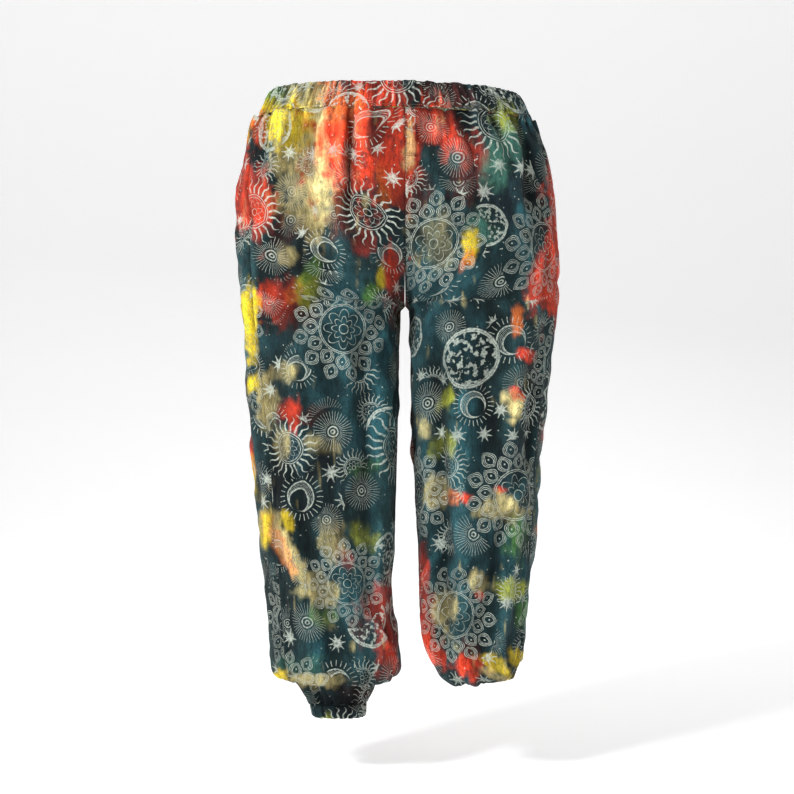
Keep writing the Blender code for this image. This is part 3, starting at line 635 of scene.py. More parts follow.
# one panel: the form between its side seam and its centre seam or inseam, moved along its own
# normal (across x down) by the relief, with half the cloth's wall to either side
def legPanel(side, face):
    rows = sectionRows(side)
    sign = sideSign(side)
    swing = byHeight(swings, swingColumn[side], rows["height"])
    edge, inset = np.array(panels["edge"]), panels["inset"]
    middle = np.linspace(inset, 1 - inset, grid["columns"] - 2 * len(edge))
    share = np.concatenate([edge, middle, 1 - edge[::-1]])[None, :]
    goal = rows["turn"] if face == "front" else -rows["turn"]
    angle = swing + (goal - swing) * share
    form = formPoints(side, rows, angle)
    alongRing = formPoints(side, rows, angle + 1) - formPoints(side, rows, angle - 1)
    normal = unit(np.cross(alongRing, np.gradient(form, axis=0)) * sign)
    fork = grid["hipRows"] + grid["forkRows"]
    row = np.arange(len(form))
    nearFork = 1 - ease(np.abs(row - fork) / panels["tipRows"])[:, None]
    tip = nearFork * ease((share - 1 + panels["tipShare"]) / panels["tipShare"])
    normal = unit(normal + tip[..., None] * np.array([-sign, 0, -1.0]))

    around = arcLength(form, 1)
    middle = form.shape[1] // 2
    u = around - around[:, middle][:, None]
    down = arcLength(form, 0)[:, middle][:, None] + 0 * u
    left = down[-1] - down
    width = around[:, -1][:, None]
    moved = reliefOf(side, face, share * width[0], down, left, share * width[-1])
    fromEdge = np.minimum(around, width - around)
    moved = moved * ease(fromEdge / relief["seamFlat"]) - relief["seamDip"] * bell(fromEdge, relief["seamWide"])
    fold = foldDepth(side, angle, rows["height"], (rows["half"] + rows["front"]) / 2)
    # painted light and shade: paler where relief and folds stand proud, darker in their hollows and along the
    # seams
    paintedLightAndShade = (moved - panels["level"]) / panels["reliefShade"] + fold / panels["foldShade"]
    paintedLightAndShade -= 0.5 * bell(fromEdge, 0.005)
    # the cloth that turns under above the cuff is painted darker, as painted shade where it lies in shadow
    hang = fork + grid["legRows"] + panels["hang"] * grid["blouseRows"]
    under = ease((row - hang) / (panels["hangBlend"] * grid["blouseRows"]))[:, None]
    paintedLightAndShade = paintedLightAndShade * (1 - 0.4 * under) - 0.95 * under
    # painted shadow lines just below the waist casing and just above the cuff
    paintedLightAndShade -= 0.45 * bell(down, 0.0045) + 0.8 * bell(left, 0.006)
    outer = form + normal * (moved + cut["cloth"] / 2)[..., None]
    inner = form + normal * (moved - cut["cloth"] / 2)[..., None]
    # the halves stay on their own sides of the centre seams
    for skin in (outer, inner):
        reach = sign * (skin[: fork + 1, :, 0] - cut["forkX"])
        skin[: fork + 1, :, 0] = cut["forkX"] + sign * np.maximum(reach, panels["centreGap"])
    print("panel", face, side, "cut about", round(float(width.max()), 3), "by", round(float(down.max()), 3))
    shift = {"right": 0.0, "left": 1.37}[side] + {"front": 0.0, "back": 2.71}[face]
    same = (side == "right") == (face == "front")
    uv = np.stack([u * (1 if same else -1) + shift, -down + shift * 0.61], axis=-1)
    if not same:
        outer, inner, uv, paintedLightAndShade = outer[:, ::-1], inner[:, ::-1], uv[:, ::-1], paintedLightAndShade[:, ::-1]
    return addWall(f"{face}Panel{side.title()}", outer, inner, uv, paintedLightAndShade)


# a ring of the waist: the hips' half sizes plus grow, times squared cosine and sine
def ringOf(height, grow, turn):
    across, forward = powered(np.cos(turn)), powered(np.sin(turn))
    side = np.where(across >= 0, hipAt("right", height), hipAt("left", height))
    depth = np.where(forward >= 0, hipAt("front", height), hipAt("back", height))
    reach = np.where(across >= 0, side + cut["forkX"], side - cut["forkX"])
    x = cut["forkX"] - (reach + grow) * across
    y = -(depth + grow) * forward
    return np.stack([x, y, height + waistLift(x, y, height)], axis=-1)


# a closed loop of profile points, a rounded box of cosine and sine to small powers: out side down,
# under, in side up and over the top
def loopProfile(count, tall, thick):
    t = np.linspace(0, 2 * np.pi, count, endpoint=False)
    level = np.sign(np.cos(t)) * np.abs(np.cos(t)) ** 0.45
    out = np.sign(np.sin(t)) * np.abs(np.sin(t)) ** 0.8
    return level * tall / 2, out * thick / 2


# a closed tube: a grid that joins up both ways
def addTube(name, rings, uv, paintedLightAndShade):
    count, columns = rings.shape[:2]
    index = np.arange(count * columns).reshape(count, columns)
    down, right = np.roll(index, -1, axis=0), np.roll(index, -1, axis=1)
    faces = np.stack([index, down, np.roll(down, -1, axis=1), right], axis=-1).reshape(-1, 4)
    return addMesh(name, rings.reshape(-1, 3), faces, uv.reshape(-1, 2), paintedLightAndShade.ravel())


# casings: a folded tube round the elastic, drawn in and puckered
waist = {
    "columns": 1400, "profile": 22, "thick": 0.0042, "pucker": 0.0031, "period": 0.0040,
    "joinX": 0.0205,          # the ends of the casing meet here, at the front
    "stitches": [(-0.0165, 0.0016, 1.0), (0.0150, 0.0014, 0.6)],      # level, width, depth
}


# the profile carried round the waist: out + pucker * noise, dented by the stitches and lapped at the join
def waistCasing():
    turn = np.linspace(0, 2 * np.pi, waist["columns"], endpoint=False)[None, :]
    level, out = loopProfile(waist["profile"], cut["casingHeight"] - 0.0006, waist["thick"])
    level, out = level[:, None], out[:, None]
    middle = cut["casingTop"] - cut["casingHeight"] / 2
    base = ringOf(middle + 0 * turn, 0, turn)
    around = arcLength(base, 1)
    n = around / waist["period"]
    slant = level * 4.0 * noise2(around / 0.03, 0 * around, 9)
    pucker = noise2(n + slant, level / 0.020, 10) + 0.7 * noise2(n * 0.53, level / 0.03 + 5, 11)
    pucker = pucker + 0.45 * noise2(n * 1.9, level / 0.012 + 9, 12)
    face = np.where(out >= 0, 1.0, -0.6)
    grow = out + waist["pucker"] * pucker * face * (1 - 0.35 * ease(np.abs(level) / 0.021))
    stitched = sum(depth * bell(level - at, wide) for at, wide, depth in waist["stitches"])
    grow = grow - 0.0011 * stitched * (out > 0)
    join = np.argmin(np.abs(base[0, :, 0] - waist["joinX"]) + (base[0, :, 1] > 0))
    apart = around - around[0, join]
    lip = np.where(apart < 0, 0.0016, -0.0008) * np.exp(-np.abs(apart) / 0.006)
    grow = grow + lip * (out > 0) * np.clip(1 - np.abs(level) / 0.022, 0, 1) ** 0.3
    rings = ringOf(middle + level + 0 * turn, grow, turn)
    frill = 0.0011 * noise2(n * 0.8, 3 + 0 * n, 13) + 0.0008 * noise2(n * 0.31, 6 + 0 * n, 14)
    rings[..., 2] += frill * ease((level - 0.008) / 0.012)
    uv = np.stack([around + 0 * level + 5.2, level + 0 * around + np.where(out >= 0, 0, 0.3)], axis=-1)
    # painted light and shade: the casing painted paler on the ridges of its puckers, darker in their valleys
    # and along the stitches
    paintedLightAndShade = 1.75 * pucker - 0.35 - 1.0 * stitched + 0 * rings[..., 0]
    return addTube("waistCasing", rings, uv, paintedLightAndShade)


cuffs = {
    "right": {"shiftX": 0.001, "shiftY": 0.002, "shrink": 0.0035, "roll": 0.0},
    "left": {"shiftX": -0.004, "shiftY": 0.002, "shrink": 0.0030, "roll": 0.10},
    "columns": 420, "profile": 18, "thick": 0.0040, "pucker": 0.0019, "period": 0.0034, "around": 0.27,
}


# the profile carried round the leg's last section, which shifts, shrinks and rolls on the way down
def cuffCasing(side):
    sign, own = sideSign(side), cuffs[side]
    last = {name: value[-1:] for name, value in sectionRows(side).items()}
    angle = np.linspace(0, 360, cuffs["columns"], endpoint=False)[None, :]
    angle = np.where(angle > 180, angle - 360, angle)
    level, out = loopProfile(cuffs["profile"], cut["cuffHeight"] - 0.0004, cuffs["thick"])
    level, out = level[:, None], out[:, None]
    share = 0.5 - level / cut["cuffHeight"]
    turn = np.radians(angle)
    n = np.cumsum(np.full_like(angle, cuffs["around"] / cuffs["columns"]), axis=1) / cuffs["period"]
    seed = 300 if side == "right" else 320
    pucker = noise2(n, level / 0.014, seed) + 0.7 * noise2(n * 0.47, level / 0.02 + 4, seed + 1)
    grow = out + cuffs["pucker"] * pucker * np.where(out >= 0, 1.0, -0.5) - own["shrink"] * share
    depth = np.where(angle >= 0, last["front"] - own["shiftY"] * share, last["back"] + own["shiftY"] * share)
    x = last["centre"] + own["shiftX"] * share + sign * (last["half"] + grow) * powered(np.cos(turn))
    y = -(depth + grow) * powered(np.sin(turn))
    z = last["height"] - cut["cuffHeight"] * share + own["roll"] * share * (x - last["centre"])
    z = z + 0.0007 * noise2(n * 0.7, 2 + 0 * n, seed + 2) * (share > 0.6)
    rings = np.stack([x, y, z], axis=-1)
    # painted light and shade: the cuff painted paler on the ridges of its puckers, darker in their valleys
    paintedLightAndShade = 1.6 * pucker - 0.45 + 0 * x
    shift = 1.9 if side == "left" else 0
    uv = np.stack([n * cuffs["period"] + 7.3 + 0 * level, level + 0 * n + shift], axis=-1)
    if side == "left":
        rings, uv, paintedLightAndShade = rings[:, ::-1], uv[:, ::-1], paintedLightAndShade[:, ::-1]
    return addTube(f"cuffCasing{side.title()}", rings, uv, paintedLightAndShade)


# mock fly strip beside the centre front seam
fly = {
    "from": 0.003, "wide": 0.012, "top": -0.041, "bottom": -0.112, "lift": 0.0011, "wall": 0.0012,
    "rows": 90, "columns": 22, "swell": 0.0007, "groove": 0.0004,
}
forwards = np.array([0.0, -1.0, 0.0])


# the point of the front form at a place across: the angle is acos of the share, unsquared
def frontAt(side, across, height):
    half = sideSign(side) * hipAt(side, height) - cut["forkX"]
    cosine = np.clip((across - cut["forkX"]) / half, 0, 1) ** (1 / cut["squareness"])
    rows = {"height": height, "centre": cut["forkX"], "half": np.abs(half), "turn": 90.0 + 0 * height}
    rows.update({"front": hipAt("front", height), "back": hipAt("back", height)})
    rows.update({name: 0.0 for name in dips})
    return formPoints(side, rows, np.degrees(np.arccos(cosine)))


# a flat wall on the form, swollen between its edges and grooved beside them by the stitches
def flyStrip():
    height = np.linspace(fly["top"], fly["bottom"], fly["rows"])[:, None]
    share = np.linspace(0, 1, fly["columns"])[None, :]
    across = cut["forkX"] + fly["from"] + fly["wide"] * share + 0 * height
    base = frontAt("left", across, height + 0 * share)
    edge = np.minimum(share, 1 - share) * fly["wide"]
    swell = fly["swell"] * ease(edge / 0.0022) - fly["groove"] * bell(edge - 0.0030, 0.0008)
    swell = swell + 0.00035 * noise2(height / 0.006, share * 2, 31)
    outer = base + forwards * (fly["lift"] + fly["wall"] + swell)[..., None]
    inner = base + forwards * fly["lift"]
    uv = np.stack([across + 9.1, height + 0 * across], axis=-1)
    return addWall("flyStrip", outer, inner, uv, 0 * outer[..., 0])


thread = {
    "thick": 0.00033, "length": 0.78, "flat": 0.8, "sides": 6,
    "ends": [(-0.5, 0.25), (-0.36, 0.9), (0.0, 1.0), (0.36, 0.9), (0.5, 0.25)],    # place, fatness
    "waistRows": [(-0.0335, 0.0020), (-0.0385, 0.0022)],                           # height, how proud
    "aroundWaist": 420,
}


# one stitch is a short spindle, centre + way * place + ring * fatness; a run is many along a path
def stitchRun(paths):
    sides = thread["sides"]
    ring = np.linspace(0, 2 * np.pi, sides, endpoint=False)[None, :, None]
    corners = sides * len(thread["ends"])
    index = np.arange(corners).reshape(-1, sides)
    turned = np.roll(index, -1, 1)
    quads = np.stack([index[:-1], turned[:-1], turned[1:], index[1:]], -1).reshape(-1, 4)
    last = corners - sides
    caps = np.array([[0, 5, 4, 3], [0, 3, 2, 1], [last, last + 1, last + 2, last + 3],
                     [last, last + 3, last + 4, last + 5]])
    one = np.concatenate([quads, caps])
    points, faces, total = [], [], 0
    for start, end, up in paths:
        way = end - start
        length = np.linalg.norm(way, axis=-1, keepdims=True)
        way = way / length
        sideways = unit(np.cross(way, up))
        above = np.cross(sideways, way)
        spoke = sideways[:, None] * np.cos(ring) + above[:, None] * np.sin(ring) * thread["flat"]
        centre = (start + end) / 2
        body = np.stack([
            (centre + way * length * place * thread["length"])[:, None] + spoke * thread["thick"] * fat
            for place, fat in thread["ends"]
        ], axis=1)
        faces.append((one[None] + (np.arange(len(body)) * corners)[:, None, None]).reshape(-1, 4) + total)
        points.append(body.reshape(-1, 3))
        total += len(body) * corners
    return np.concatenate(points), np.concatenate(faces)


# from each point of a line to the next, with the way up at its start
def runBetween(points, up):
    return points[:-1], points[1:], up[:-1]


# two rows round the waist, one down each edge of the strip, and three short ones across its end
def threads():
    paths = []
    turn = np.linspace(0, 2 * np.pi, thread["aroundWaist"])
    for level, proud in thread["waistRows"]:
        ring = ringOf(np.full_like(turn, level), proud, turn)
        up = unit((ring - np.array([cut["forkX"], 0, 0])) * np.array([1, 1.6, 0]))
        paths.append(runBetween(ring, up))
    proud = fly["lift"] + fly["wall"] + 0.0006
    height = np.linspace(fly["top"] - 0.001, fly["bottom"] + 0.002, 26)
    for share in (0.16, 0.84):
        across = np.full_like(height, cut["forkX"] + fly["from"] + fly["wide"] * share)
        line = np.array([frontAt("left", a, np.array([h])) for a, h in zip(across[:, None], height)])[:, 0]
        paths.append(runBetween(line + forwards * proud, np.tile(forwards, (len(line), 1))))
    across = cut["forkX"] + fly["from"] + fly["wide"] * np.linspace(-0.05, 1.05, 22)
    for drop in (0.0, 0.0011, 0.0022):
        bar = frontAt("left", across, np.full(len(across), fly["bottom"] + 0.0015 + drop))
        paths.append(runBetween(bar + forwards * (proud + 0.0003), np.tile(forwards, (len(bar), 1))))
    points, faces = stitchRun(paths)
    return addMesh("topStitches", points, faces, points[:, [0, 2]])


# small helper that writes maths as nodes: a wire adds, takes, multiplies and so on
class Wire:
    def __init__(self, tree, socket):
        self.tree, self.socket = tree, socket

    def maths(self, operation, *others, clamp=False):
        node = self.tree.nodes.new("ShaderNodeMath")
        node.operation, node.use_clamp = operation, clamp
        for i, value in enumerate((self,) + others):
            if isinstance(value, Wire):
                self.tree.links.new(value.socket, node.inputs[i])
            else:
                node.inputs[i].default_value = value
        return Wire(self.tree, node.outputs[0])

    def __rsub__(self, other):
        return (self * -1.0) + other

    # 0 at start, rising to 1 over a length
    def ramp(self, start, length):
        return (self - start).maths("DIVIDE", length, clamp=True)


wireMaths = {
    "__add__": "ADD", "__sub__": "SUBTRACT", "__mul__": "MULTIPLY", "__truediv__": "DIVIDE",
    "abs": "ABSOLUTE", "floor": "FLOOR", "fract": "FRACT", "sin": "SINE", "cos": "COSINE", "root": "SQRT",
    "most": "MAXIMUM", "above": "GREATER_THAN", "below": "LESS_THAN",
}
for name, operation in wireMaths.items():
    setattr(Wire, name, lambda wire, *others, operation=operation: wire.maths(operation, *others))


# ink where a distance is under a half width, with a soft edge: (wide + soft - distance) / soft
def ink(distance, wide, soft):
    return ((wide + soft) - distance.abs()).maths("DIVIDE", soft, clamp=True)


def radius(x, y):
    return (x * x + y * y).root()


def polar(x, y):
    return radius(x, y), y.maths("ARCTAN2", x)


# distance to the middle of the nearest of n equal sectors, as a share of one from -0.5 to 0.5
def sector(angle, count, shift=0.0):
    return ((angle * (count / math.tau)) + shift).fract() - 0.5


def between(value, low, high):
    return value.above(low) * value.below(high)


# motifs of ordinary sky shapes, each for a circle of radius 1; sizes are shares of that radius
# a rosette: rings, a middle whose outline is |cos 4a|, and two rings of leaves 1 - t^2 wide
def rosette(x, y, wide):
    r, a = polar(x, y)
    soft = 0.0065
    petal = (a * 4.0).cos().abs()
    marks = ink(r - (petal * 0.13 + 0.24), wide, soft).most(ink(r - (petal * 0.09 + 0.14), wide, soft))
    for ring in (0.09, 0.43, 0.46):
        marks = marks.most(ink(r - ring, wide, soft))
    leaves = 12.0
    for middle, shift, tall in ((0.615, 0.0, 0.145), (0.835, 0.5, 0.150)):
        s = sector(a, leaves, shift) * (math.tau / leaves * middle)
        along = (r - middle) / tall
        bulge = (1.0 - along * along).most(0.0) * (1.0 - along * 0.25)
        leaf = bulge * 0.135 - s.abs()
        for inset in (0.0, 0.034, 0.066):
            marks = marks.most(ink(leaf - inset, wide, soft) * along.abs().below(1.0))
        marks = marks.most(ink(radius(s, r - middle), 0.012, soft))
    rays = ink(sector(a, 36.0) * r, wide * 1.5, soft) * between(r, 0.47, 0.51)
    return marks.most(rays)


# a sun: two rings, flames that sway with sin 16r and taper, and a small rosette inside
def sunburst(x, y, wide):
    r, a = polar(x, y)
    soft = 0.010
    marks = ink(r - 0.50, wide * 1.4, soft).most(ink(r - 0.43, wide * 0.8, soft))
    sway = ((r * 16.0).sin() * 0.16) * (r - 0.5)
    flame = ink(sector(a + sway, 22.0), (1.0 - r) * 0.36, 0.05) * between(r, 0.54, 1.0)
    petal = (a * 4.0).cos().abs()
    inner = ink(r - (petal * 0.16 + 0.16), wide, soft).most(ink(r - 0.10, wide, soft))
    waves = ((r * 34.0) + (a * 8.0).cos() * 1.4).sin() * 0.05
    arcs = ink(waves, wide * 0.35, soft) * between(r, 0.34, 0.42)
    return marks.most(flame).most(inner).most(arcs)


# a crescent: one circle less another beside it, hatched by sin 52r, in a ring of dashes
def crescent(x, y, wide):
    r, a = polar(x, y)
    soft = 0.022
    bite = radius(x - 0.17, y)
    marks = (ink(r - 0.56, wide, soft) * bite.above(0.42)).most(ink(bite - 0.43, wide, soft) * r.below(0.57))
    hatch = ink((bite * 52.0).sin() * 0.05, 0.012, 0.02) * r.below(0.56) * bite.above(0.43)
    dashes = ink(sector(a, 26.0) * r, wide * 2.6, 0.05) * between(r, 0.68, 0.92)
    return marks.most(hatch * 0.75).most(dashes)


# a burst: rays of two lengths, by cos 19a, round two rings
def starburst(x, y, wide):
    r, a = polar(x, y)
    reach = (a * 19.0).cos() * 0.14 + 0.84
    rays = ink(sector(a, 38.0) * r, wide * 2.0, 0.045) * r.above(0.30) * (reach - r).above(0.0)
    return rays.most(ink(r - 0.21, wide, 0.03)).most(ink(r - 0.08, wide, 0.03))


# a star of eight long and eight short rays, each as wide as (length - r) * a slope
def pointedStar(x, y, wide):
    r, a = polar(x, y)
    star = None
    for shift, length, slope, soft in ((0.0, 1.0, 0.13, 0.07), (0.5, 0.55, 0.14, 0.06)):
        ray = ink(sector(a, 8.0, shift).abs() * r, (length - r) * slope, soft) * r.below(length)
        star = ray if star is None else star.most(ray)
    return star


# a noise texture node on a vector
def noiseOn(tree, vector, scale, detail, roughness=0.5, distortion=0.0, dimensions="3D"):
    node = tree.nodes.new("ShaderNodeTexNoise")
    node.noise_dimensions = dimensions
    settings = {"Scale": scale, "Detail": detail, "Roughness": roughness, "Distortion": distortion}
    for name, value in settings.items():
        node.inputs[name].default_value = value
    tree.links.new(vector, node.inputs["Vector"])
    return node


# a moon: two rings and blotches where noise is above 0.53
def moonDisc(tree, x, y, wide, vector, scale):
    r = radius(x, y)
    grain = noiseOn(tree, vector, scale, 3.0, dimensions="2D")
    blotches = Wire(tree, grain.outputs["Fac"]).ramp(0.53, 0.05)
    rings = ink(r - 0.90, wide, 0.03).most(ink(r - 0.84, wide * 0.6, 0.03))
    return rings.most(blotches * r.below(0.82) * 0.85)


# a layer of cells: each cell draws lots for its motif, its place, its size and its turn
def cellLayer(tree, u, v, size, reach, shift):
    level = (v / size) + shift
    row = level.floor()
    place = (u / size) + (row * 0.5) + shift * 1.7
    join = tree.nodes.new("ShaderNodeCombineXYZ")
    tree.links.new(place.floor().socket, join.inputs[0])
    tree.links.new(row.socket, join.inputs[1])
    draw = tree.nodes.new("ShaderNodeTexWhiteNoise")
    draw.noise_dimensions = "2D"
    tree.links.new(join.outputs[0], draw.inputs["Vector"])
    parts = tree.nodes.new("ShaderNodeSeparateColor")
    tree.links.new(draw.outputs["Color"], parts.inputs[0])
    lots = [Wire(tree, parts.outputs[i]) for i in range(3)] + [Wire(tree, draw.outputs["Value"])]
    small = lots[2] * 0.22 + 0.78
    room = size - 2 * reach
    x = ((place.fract() - 0.5) * size - (lots[0] - 0.5) * room) / (small * reach)
    y = ((level.fract() - 0.5) * size - (lots[1] - 0.5) * room) / (small * reach)
    spin = lots[0] * 6.28
    c, s = spin.cos(), spin.sin()
    return x * c - y * s, x * s + y * c, lots[3], radius(x, y)


# cell size, reach of a motif, shift of the rows: metres and shares
printLayers = {
    "big": (0.196, 0.088, 0.31),
    "mid": (0.098, 0.043, 0.77),
    "under": (0.081, 0.036, 0.57),
    "small": (0.043, 0.0165, 0.13),
    "dust": (0.0155, 0.005, 0.47),
}


# the print: each layer shows where the bigger ones leave room, 1 - (1 - big) * ... by maximum
def printGroup():
    tree = bpy.data.node_groups.new("skyPrint", "ShaderNodeTree")
    tree.interface.new_socket("Cloth", in_out="INPUT", socket_type="NodeSocketVector")
    tree.interface.new_socket("Ink", in_out="OUTPUT", socket_type="NodeSocketFloat")
    enter, leave = tree.nodes.new("NodeGroupInput"), tree.nodes.new("NodeGroupOutput")
    # the hand-drawn line wanders a little
    wobble = noiseOn(tree, enter.outputs[0], 95.0, 2.0, dimensions="2D")
    off = tree.nodes.new("ShaderNodeVectorMath")
    off.operation = "MULTIPLY_ADD"
    off.inputs[1].default_value = (0.0020, 0.0020, 0.0)
    tree.links.new(wobble.outputs["Color"], off.inputs[0])
    tree.links.new(enter.outputs[0], off.inputs[2])
    apart = tree.nodes.new("ShaderNodeSeparateXYZ")
    tree.links.new(off.outputs[0], apart.inputs[0])
    u, v = Wire(tree, apart.outputs[0]), Wire(tree, apart.outputs[1])

    x, y, lot, r = cellLayer(tree, u, v, *printLayers["big"])
    sunLot, moonLot = between(lot, 0.42, 0.72), between(lot, 0.72, 0.92)
    big = (rosette(x, y, 0.0032) * lot.below(0.42)).most(sunburst(x * 1.42, y * 1.42, 0.0055) * sunLot)
    big = big.most(moonDisc(tree, x * 1.75, y * 1.75, 0.012, off.outputs[0], 110.0) * moonLot)
    bigRoom = (r.below(1.0) * lot.below(0.42)).most(r.below(0.71) * sunLot).most(r.below(0.54) * moonLot)

    x, y, lot, r = cellLayer(tree, u, v, *printLayers["mid"])
    mid = (crescent(x, y, 0.012) * lot.below(0.34)).most(starburst(x, y, 0.010) * between(lot, 0.34, 0.66))
    mid = mid.most(sunburst(x, y, 0.012) * between(lot, 0.66, 0.80))
    mid = mid.most(moonDisc(tree, x, y, 0.016, off.outputs[0], 150.0) * between(lot, 0.80, 0.90))
    midRoom = r.below(1.0) * lot.below(0.90)

    x, y, lot, r = cellLayer(tree, u, v, *printLayers["under"])
    under = (starburst(x, y, 0.010) * lot.below(0.45)).most(sunburst(x, y, 0.012) * between(lot, 0.45, 0.62))

    x, y, lot, r = cellLayer(tree, u, v, *printLayers["small"])
    dot = (0.075 - r).maths("DIVIDE", 0.05, clamp=True)
    small = (pointedStar(x, y, 0.05) * lot.below(0.40)).most(dot * between(lot, 0.40, 0.85))

    x, y, lot, r = cellLayer(tree, u, v, *printLayers["dust"])
    small = small.most((0.30 - r).maths("DIVIDE", 0.12, clamp=True) * lot.below(0.34) * 0.8)

    marks = big.most((1.0 - bigRoom) * mid.most((1.0 - midRoom) * small.most(under * 0.8)))
    tree.links.new(marks.socket, leave.inputs[0])
    return tree


# a new material, its tree and its shader
def newFinish(name):
    made = bpy.data.materials.new(name)
    made.use_nodes = True
    return made, made.node_tree, next(n for n in made.node_tree.nodes if n.type == "BSDF_PRINCIPLED")


# one colour mixed into another by a factor; colours are sockets or numbers
def mixed(tree, factor, first, second):
    node = tree.nodes.new("ShaderNodeMix")
    node.data_type = "RGBA"
    for i, value in ((0, factor), (6, first), (7, second)):
        if isinstance(value, bpy.types.NodeSocket):
            tree.links.new(value, node.inputs[i])
        else:
            node.inputs[i].default_value = value
    return node.outputs[2]


cloth = {
    "paleInk": (0.64, 0.71, 0.62, 1),     # on dark dye
    "greyInk": (0.13, 0.20, 0.19, 1),     # on pale dye
    "threads": 7800.0,                    # of the weave, radians a metre
    "upright": (1.0, 0.30, 1.0),          # crinkles are this much longer than wide
    "bump": 0.0012,
    "shader": {"Roughness": 0.82, "Specular IOR Level": 0.16, "Sheen Weight": 0.03, "Sheen Roughness": 0.5},
}


# dye with painted light and shade from the mesh, made uneven by noise, with the print inked over it; the bump
# is the weave sin u * sin v plus slubs and crinkles
def dyedCloth():
    made, tree, shader = newFinish("dyedRayon")
    new, link = tree.nodes.new, tree.links.new
    dyeAndPaintedShade = new("ShaderNodeAttribute")
    dyeAndPaintedShade.attribute_name = "dyeAndPaintedShade"
    onCloth = new("ShaderNodeUVMap")
    onCloth.uv_map = "cloth"
    where = onCloth.outputs[0]
    drawn = new("ShaderNodeGroup")
    drawn.node_tree = printGroup()
    link(where, drawn.inputs[0])
    # the print is worn thin here and there
    strength = Wire(tree, noiseOn(tree, where, 260.0, 4.0).outputs["Fac"]).ramp(0.36, 0.20)
    weaker = Wire(tree, noiseOn(tree, where, 16.0, 2.0).outputs["Fac"]).ramp(0.34, 0.26)
    marks = Wire(tree, drawn.outputs[0]) * (strength * 0.50 + 0.30) * (weaker * 0.45 + 0.60)
    grey = new("ShaderNodeRGBToBW")
    link(dyeAndPaintedShade.outputs["Color"], grey.inputs[0])
    pale = Wire(tree, grey.outputs[0]).ramp(0.30, 0.16)
    inkHue = mixed(tree, pale.socket, cloth["paleInk"], cloth["greyInk"])
    # dye is taken up unevenly, pools along fine upright crinkles and leaves paler flecks
    speckle = Wire(tree, noiseOn(tree, where, 420.0, 5.0).outputs["Fac"])
    upright = new("ShaderNodeVectorMath")
    upright.operation = "MULTIPLY"
    upright.inputs[1].default_value = cloth["upright"]
    link(where, upright.inputs[0])
    crackle = noiseOn(tree, upright.outputs[0], 120.0, 6.0, 0.65, 0.6)
    pooled = (Wire(tree, crackle.outputs["Fac"]) - 0.5).abs().maths("DIVIDE", 0.035, clamp=True)
    uneven = new("ShaderNodeHueSaturation")
    link(dyeAndPaintedShade.outputs["Color"], uneven.inputs["Color"])
    link(((speckle * 0.9 + 0.50) * (pooled * 0.55 + 0.50)).socket, uneven.inputs["Value"])
    link(mixed(tree, marks.socket, uneven.outputs[0], inkHue), shader.inputs["Base Color"])
    for name, value in cloth["shader"].items():
        shader.inputs[name].default_value = value
    apart = new("ShaderNodeSeparateXYZ")
    link(where, apart.inputs[0])
    u, v = Wire(tree, apart.outputs[0]), Wire(tree, apart.outputs[1])
    weave = (u * cloth["threads"]).sin() * (v * cloth["threads"]).sin()
    crinkles = Wire(tree, noiseOn(tree, upright.outputs[0], 75.0, 3.0, 0.5, 0.4).outputs["Fac"])
    bump = new("ShaderNodeBump")
    bump.inputs["Strength"].default_value = 0.8
    bump.inputs["Distance"].default_value = cloth["bump"]
    link((weave * 0.10 + speckle * 0.5 + crinkles * 4.0).socket, bump.inputs["Height"])
    link(bump.outputs[0], shader.inputs["Normal"])
    return made


# thread in the colour of the dye beneath, a third of the way to straw
def threadFinish():
    made, tree, shader = newFinish("stitchThread")
    dyeAndPaintedShade = tree.nodes.new("ShaderNodeAttribute")
    dyeAndPaintedShade.attribute_name = "dyeAndPaintedShade"
    tree.links.new(mixed(tree, 0.35, dyeAndPaintedShade.outputs["Color"], (0.30, 0.24, 0.12, 1)), shader.inputs["Base Color"])
    shader.inputs["Roughness"].default_value = 0.6
    return made


clothFinish, stitchFinish = dyedCloth(), threadFinish()
print("finishes made")


# a piece takes its finish and rides the body in place of its solid
def fitOut(piece, node):
    piece.data.materials.append(clothFinish)
    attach(piece, "root")
    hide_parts(node)


# flat sizes and areas of the cut in metres, with seam allowances and the take-up of the gathers
sheets = {
    ("front", "right"): {"flat": (0.37, 1.02), "area": 0.31},
    ("front", "left"): {"flat": (0.39, 1.00), "area": 0.31},
    ("back", "right"): {"flat": (0.58, 1.02), "area": 0.49},
    ("back", "left"): {"flat": (0.52, 0.97), "area": 0.42},
}
for (face, side), own in sheets.items():
    panel = legPanel(side, face)
    fitOut(panel, f"{face}_{side}")
print("panels made")

fitOut(waistCasing(), "waist_casing")
for side in ("right", "left"):
    fitOut(cuffCasing(side), f"cuff_{side}")
fitOut(flyStrip(), "fly_strip")
stitches = threads()
stitches.data.materials.append(stitchFinish)
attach(stitches, "root")
print("casings, strip and threads made")

studio = {
    "floor": -1.065, "front": -8, "flat": 10, "bend": 2.2, "wall": 30, "wide": 12, "rows": 40, "columns": 3,
    "hue": (0.93, 0.93, 0.93, 1), "glow": 0.25,
    "world": 0.31,
    "sensor": 36.0, "lens": 86.1, "farClip": 100,
}


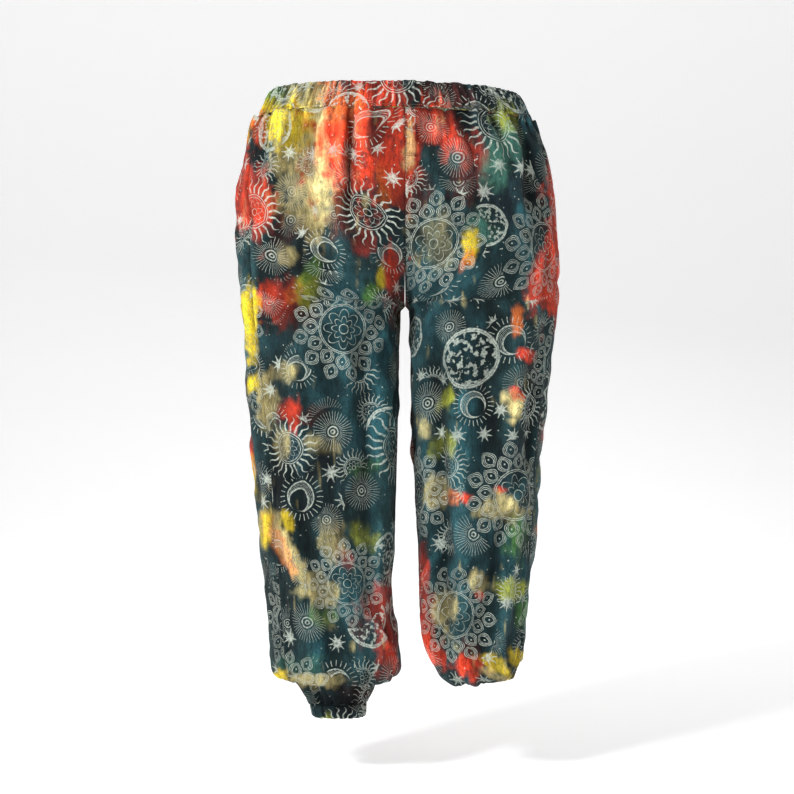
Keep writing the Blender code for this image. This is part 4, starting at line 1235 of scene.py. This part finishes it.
# a floor of pale paper that turns up into a wall behind: flat, a quarter circle, then straight up
def studioFloor():
    t = np.linspace(0, 1, studio["rows"])
    bend = np.clip((t - 0.5) / 0.25, 0, 1) * math.pi / 2
    back = studio["front"] + studio["flat"]
    y = np.where(t < 0.5, studio["front"] + t * 2 * studio["flat"], back + studio["bend"] * np.sin(bend))
    risen = studio["bend"] * (1 - np.cos(bend)) + np.clip(t - 0.75, 0, 1) * studio["wall"]
    z = np.where(t < 0.5, 0, risen) + studio["floor"]
    x = np.linspace(-studio["wide"], studio["wide"], studio["columns"])
    points = np.stack(np.broadcast_arrays(x[None, :], y[:, None], z[:, None]), -1).reshape(-1, 3)
    index = np.arange(len(points)).reshape(studio["rows"], studio["columns"])
    faces = np.stack([index[:-1, :-1], index[:-1, 1:], index[1:, 1:], index[1:, :-1]], -1).reshape(-1, 4)
    mesh = bpy.data.meshes.new("studioFloor")
    mesh.from_pydata(points.tolist(), [], faces.tolist())
    mesh.shade_smooth()
    paper, tree, shader = newFinish("studioPaper")
    shader.inputs["Base Color"].default_value = studio["hue"]
    shader.inputs["Roughness"].default_value = 0.9
    shader.inputs["Specular IOR Level"].default_value = 0.1
    shader.inputs["Emission Color"].default_value = (1, 1, 1, 1)
    shader.inputs["Emission Strength"].default_value = studio["glow"]
    mesh.materials.append(paper)
    floor = bpy.data.objects.new("studioFloor", mesh)
    bpy.context.scene.collection.objects.link(floor)


studioFloor()
# name, place, goal, size in metres, watts
lamps = [
    ("keySoft", (-1.8, -2.4, 1.4), (0.0, 0.0, -0.40), 0.6, 100),
    ("fillSoft", (2.2, -2.6, 0.6), (0.0, 0.0, -0.5), 1.8, 15),
    ("backSoft", (0.4, 2.2, 1.6), (0.0, 0.0, -0.4), 1.5, 30),
]
for name, place, goal, size, power in lamps:
    lamp = bpy.data.lights.new(name, "AREA")
    lamp.size, lamp.energy = size, power
    holder = bpy.data.objects.new(name, lamp)
    bpy.context.scene.collection.objects.link(holder)
    holder.location = place
    way = np.array(goal) - np.array(place)
    level = math.hypot(way[0], way[1])
    holder.rotation_euler = (math.atan2(level, -way[2]), 0, math.atan2(-way[0], way[1]))

world = bpy.data.worlds.new("paleRoom")
world.use_nodes = True
sky = world.node_tree.nodes["Background"]
sky.inputs[0].default_value = (1, 1, 1, 1)
sky.inputs[1].default_value = studio["world"]
bpy.context.scene.world = world

lens = bpy.data.cameras.new("camera")
lens.sensor_width = studio["sensor"]
lens.lens = studio["lens"]
lens.clip_end = studio["farClip"]
camera = bpy.data.objects.new("camera", lens)
camera.location = (0.0, -eye["away"], eye["height"])
camera.rotation_euler = (math.pi / 2, 0, 0)
bpy.context.scene.collection.objects.link(camera)
bpy.context.scene.camera = camera
bpy.context.scene.view_settings.view_transform = "Standard"
print("studio set")

bpy.context.view_layer.update()
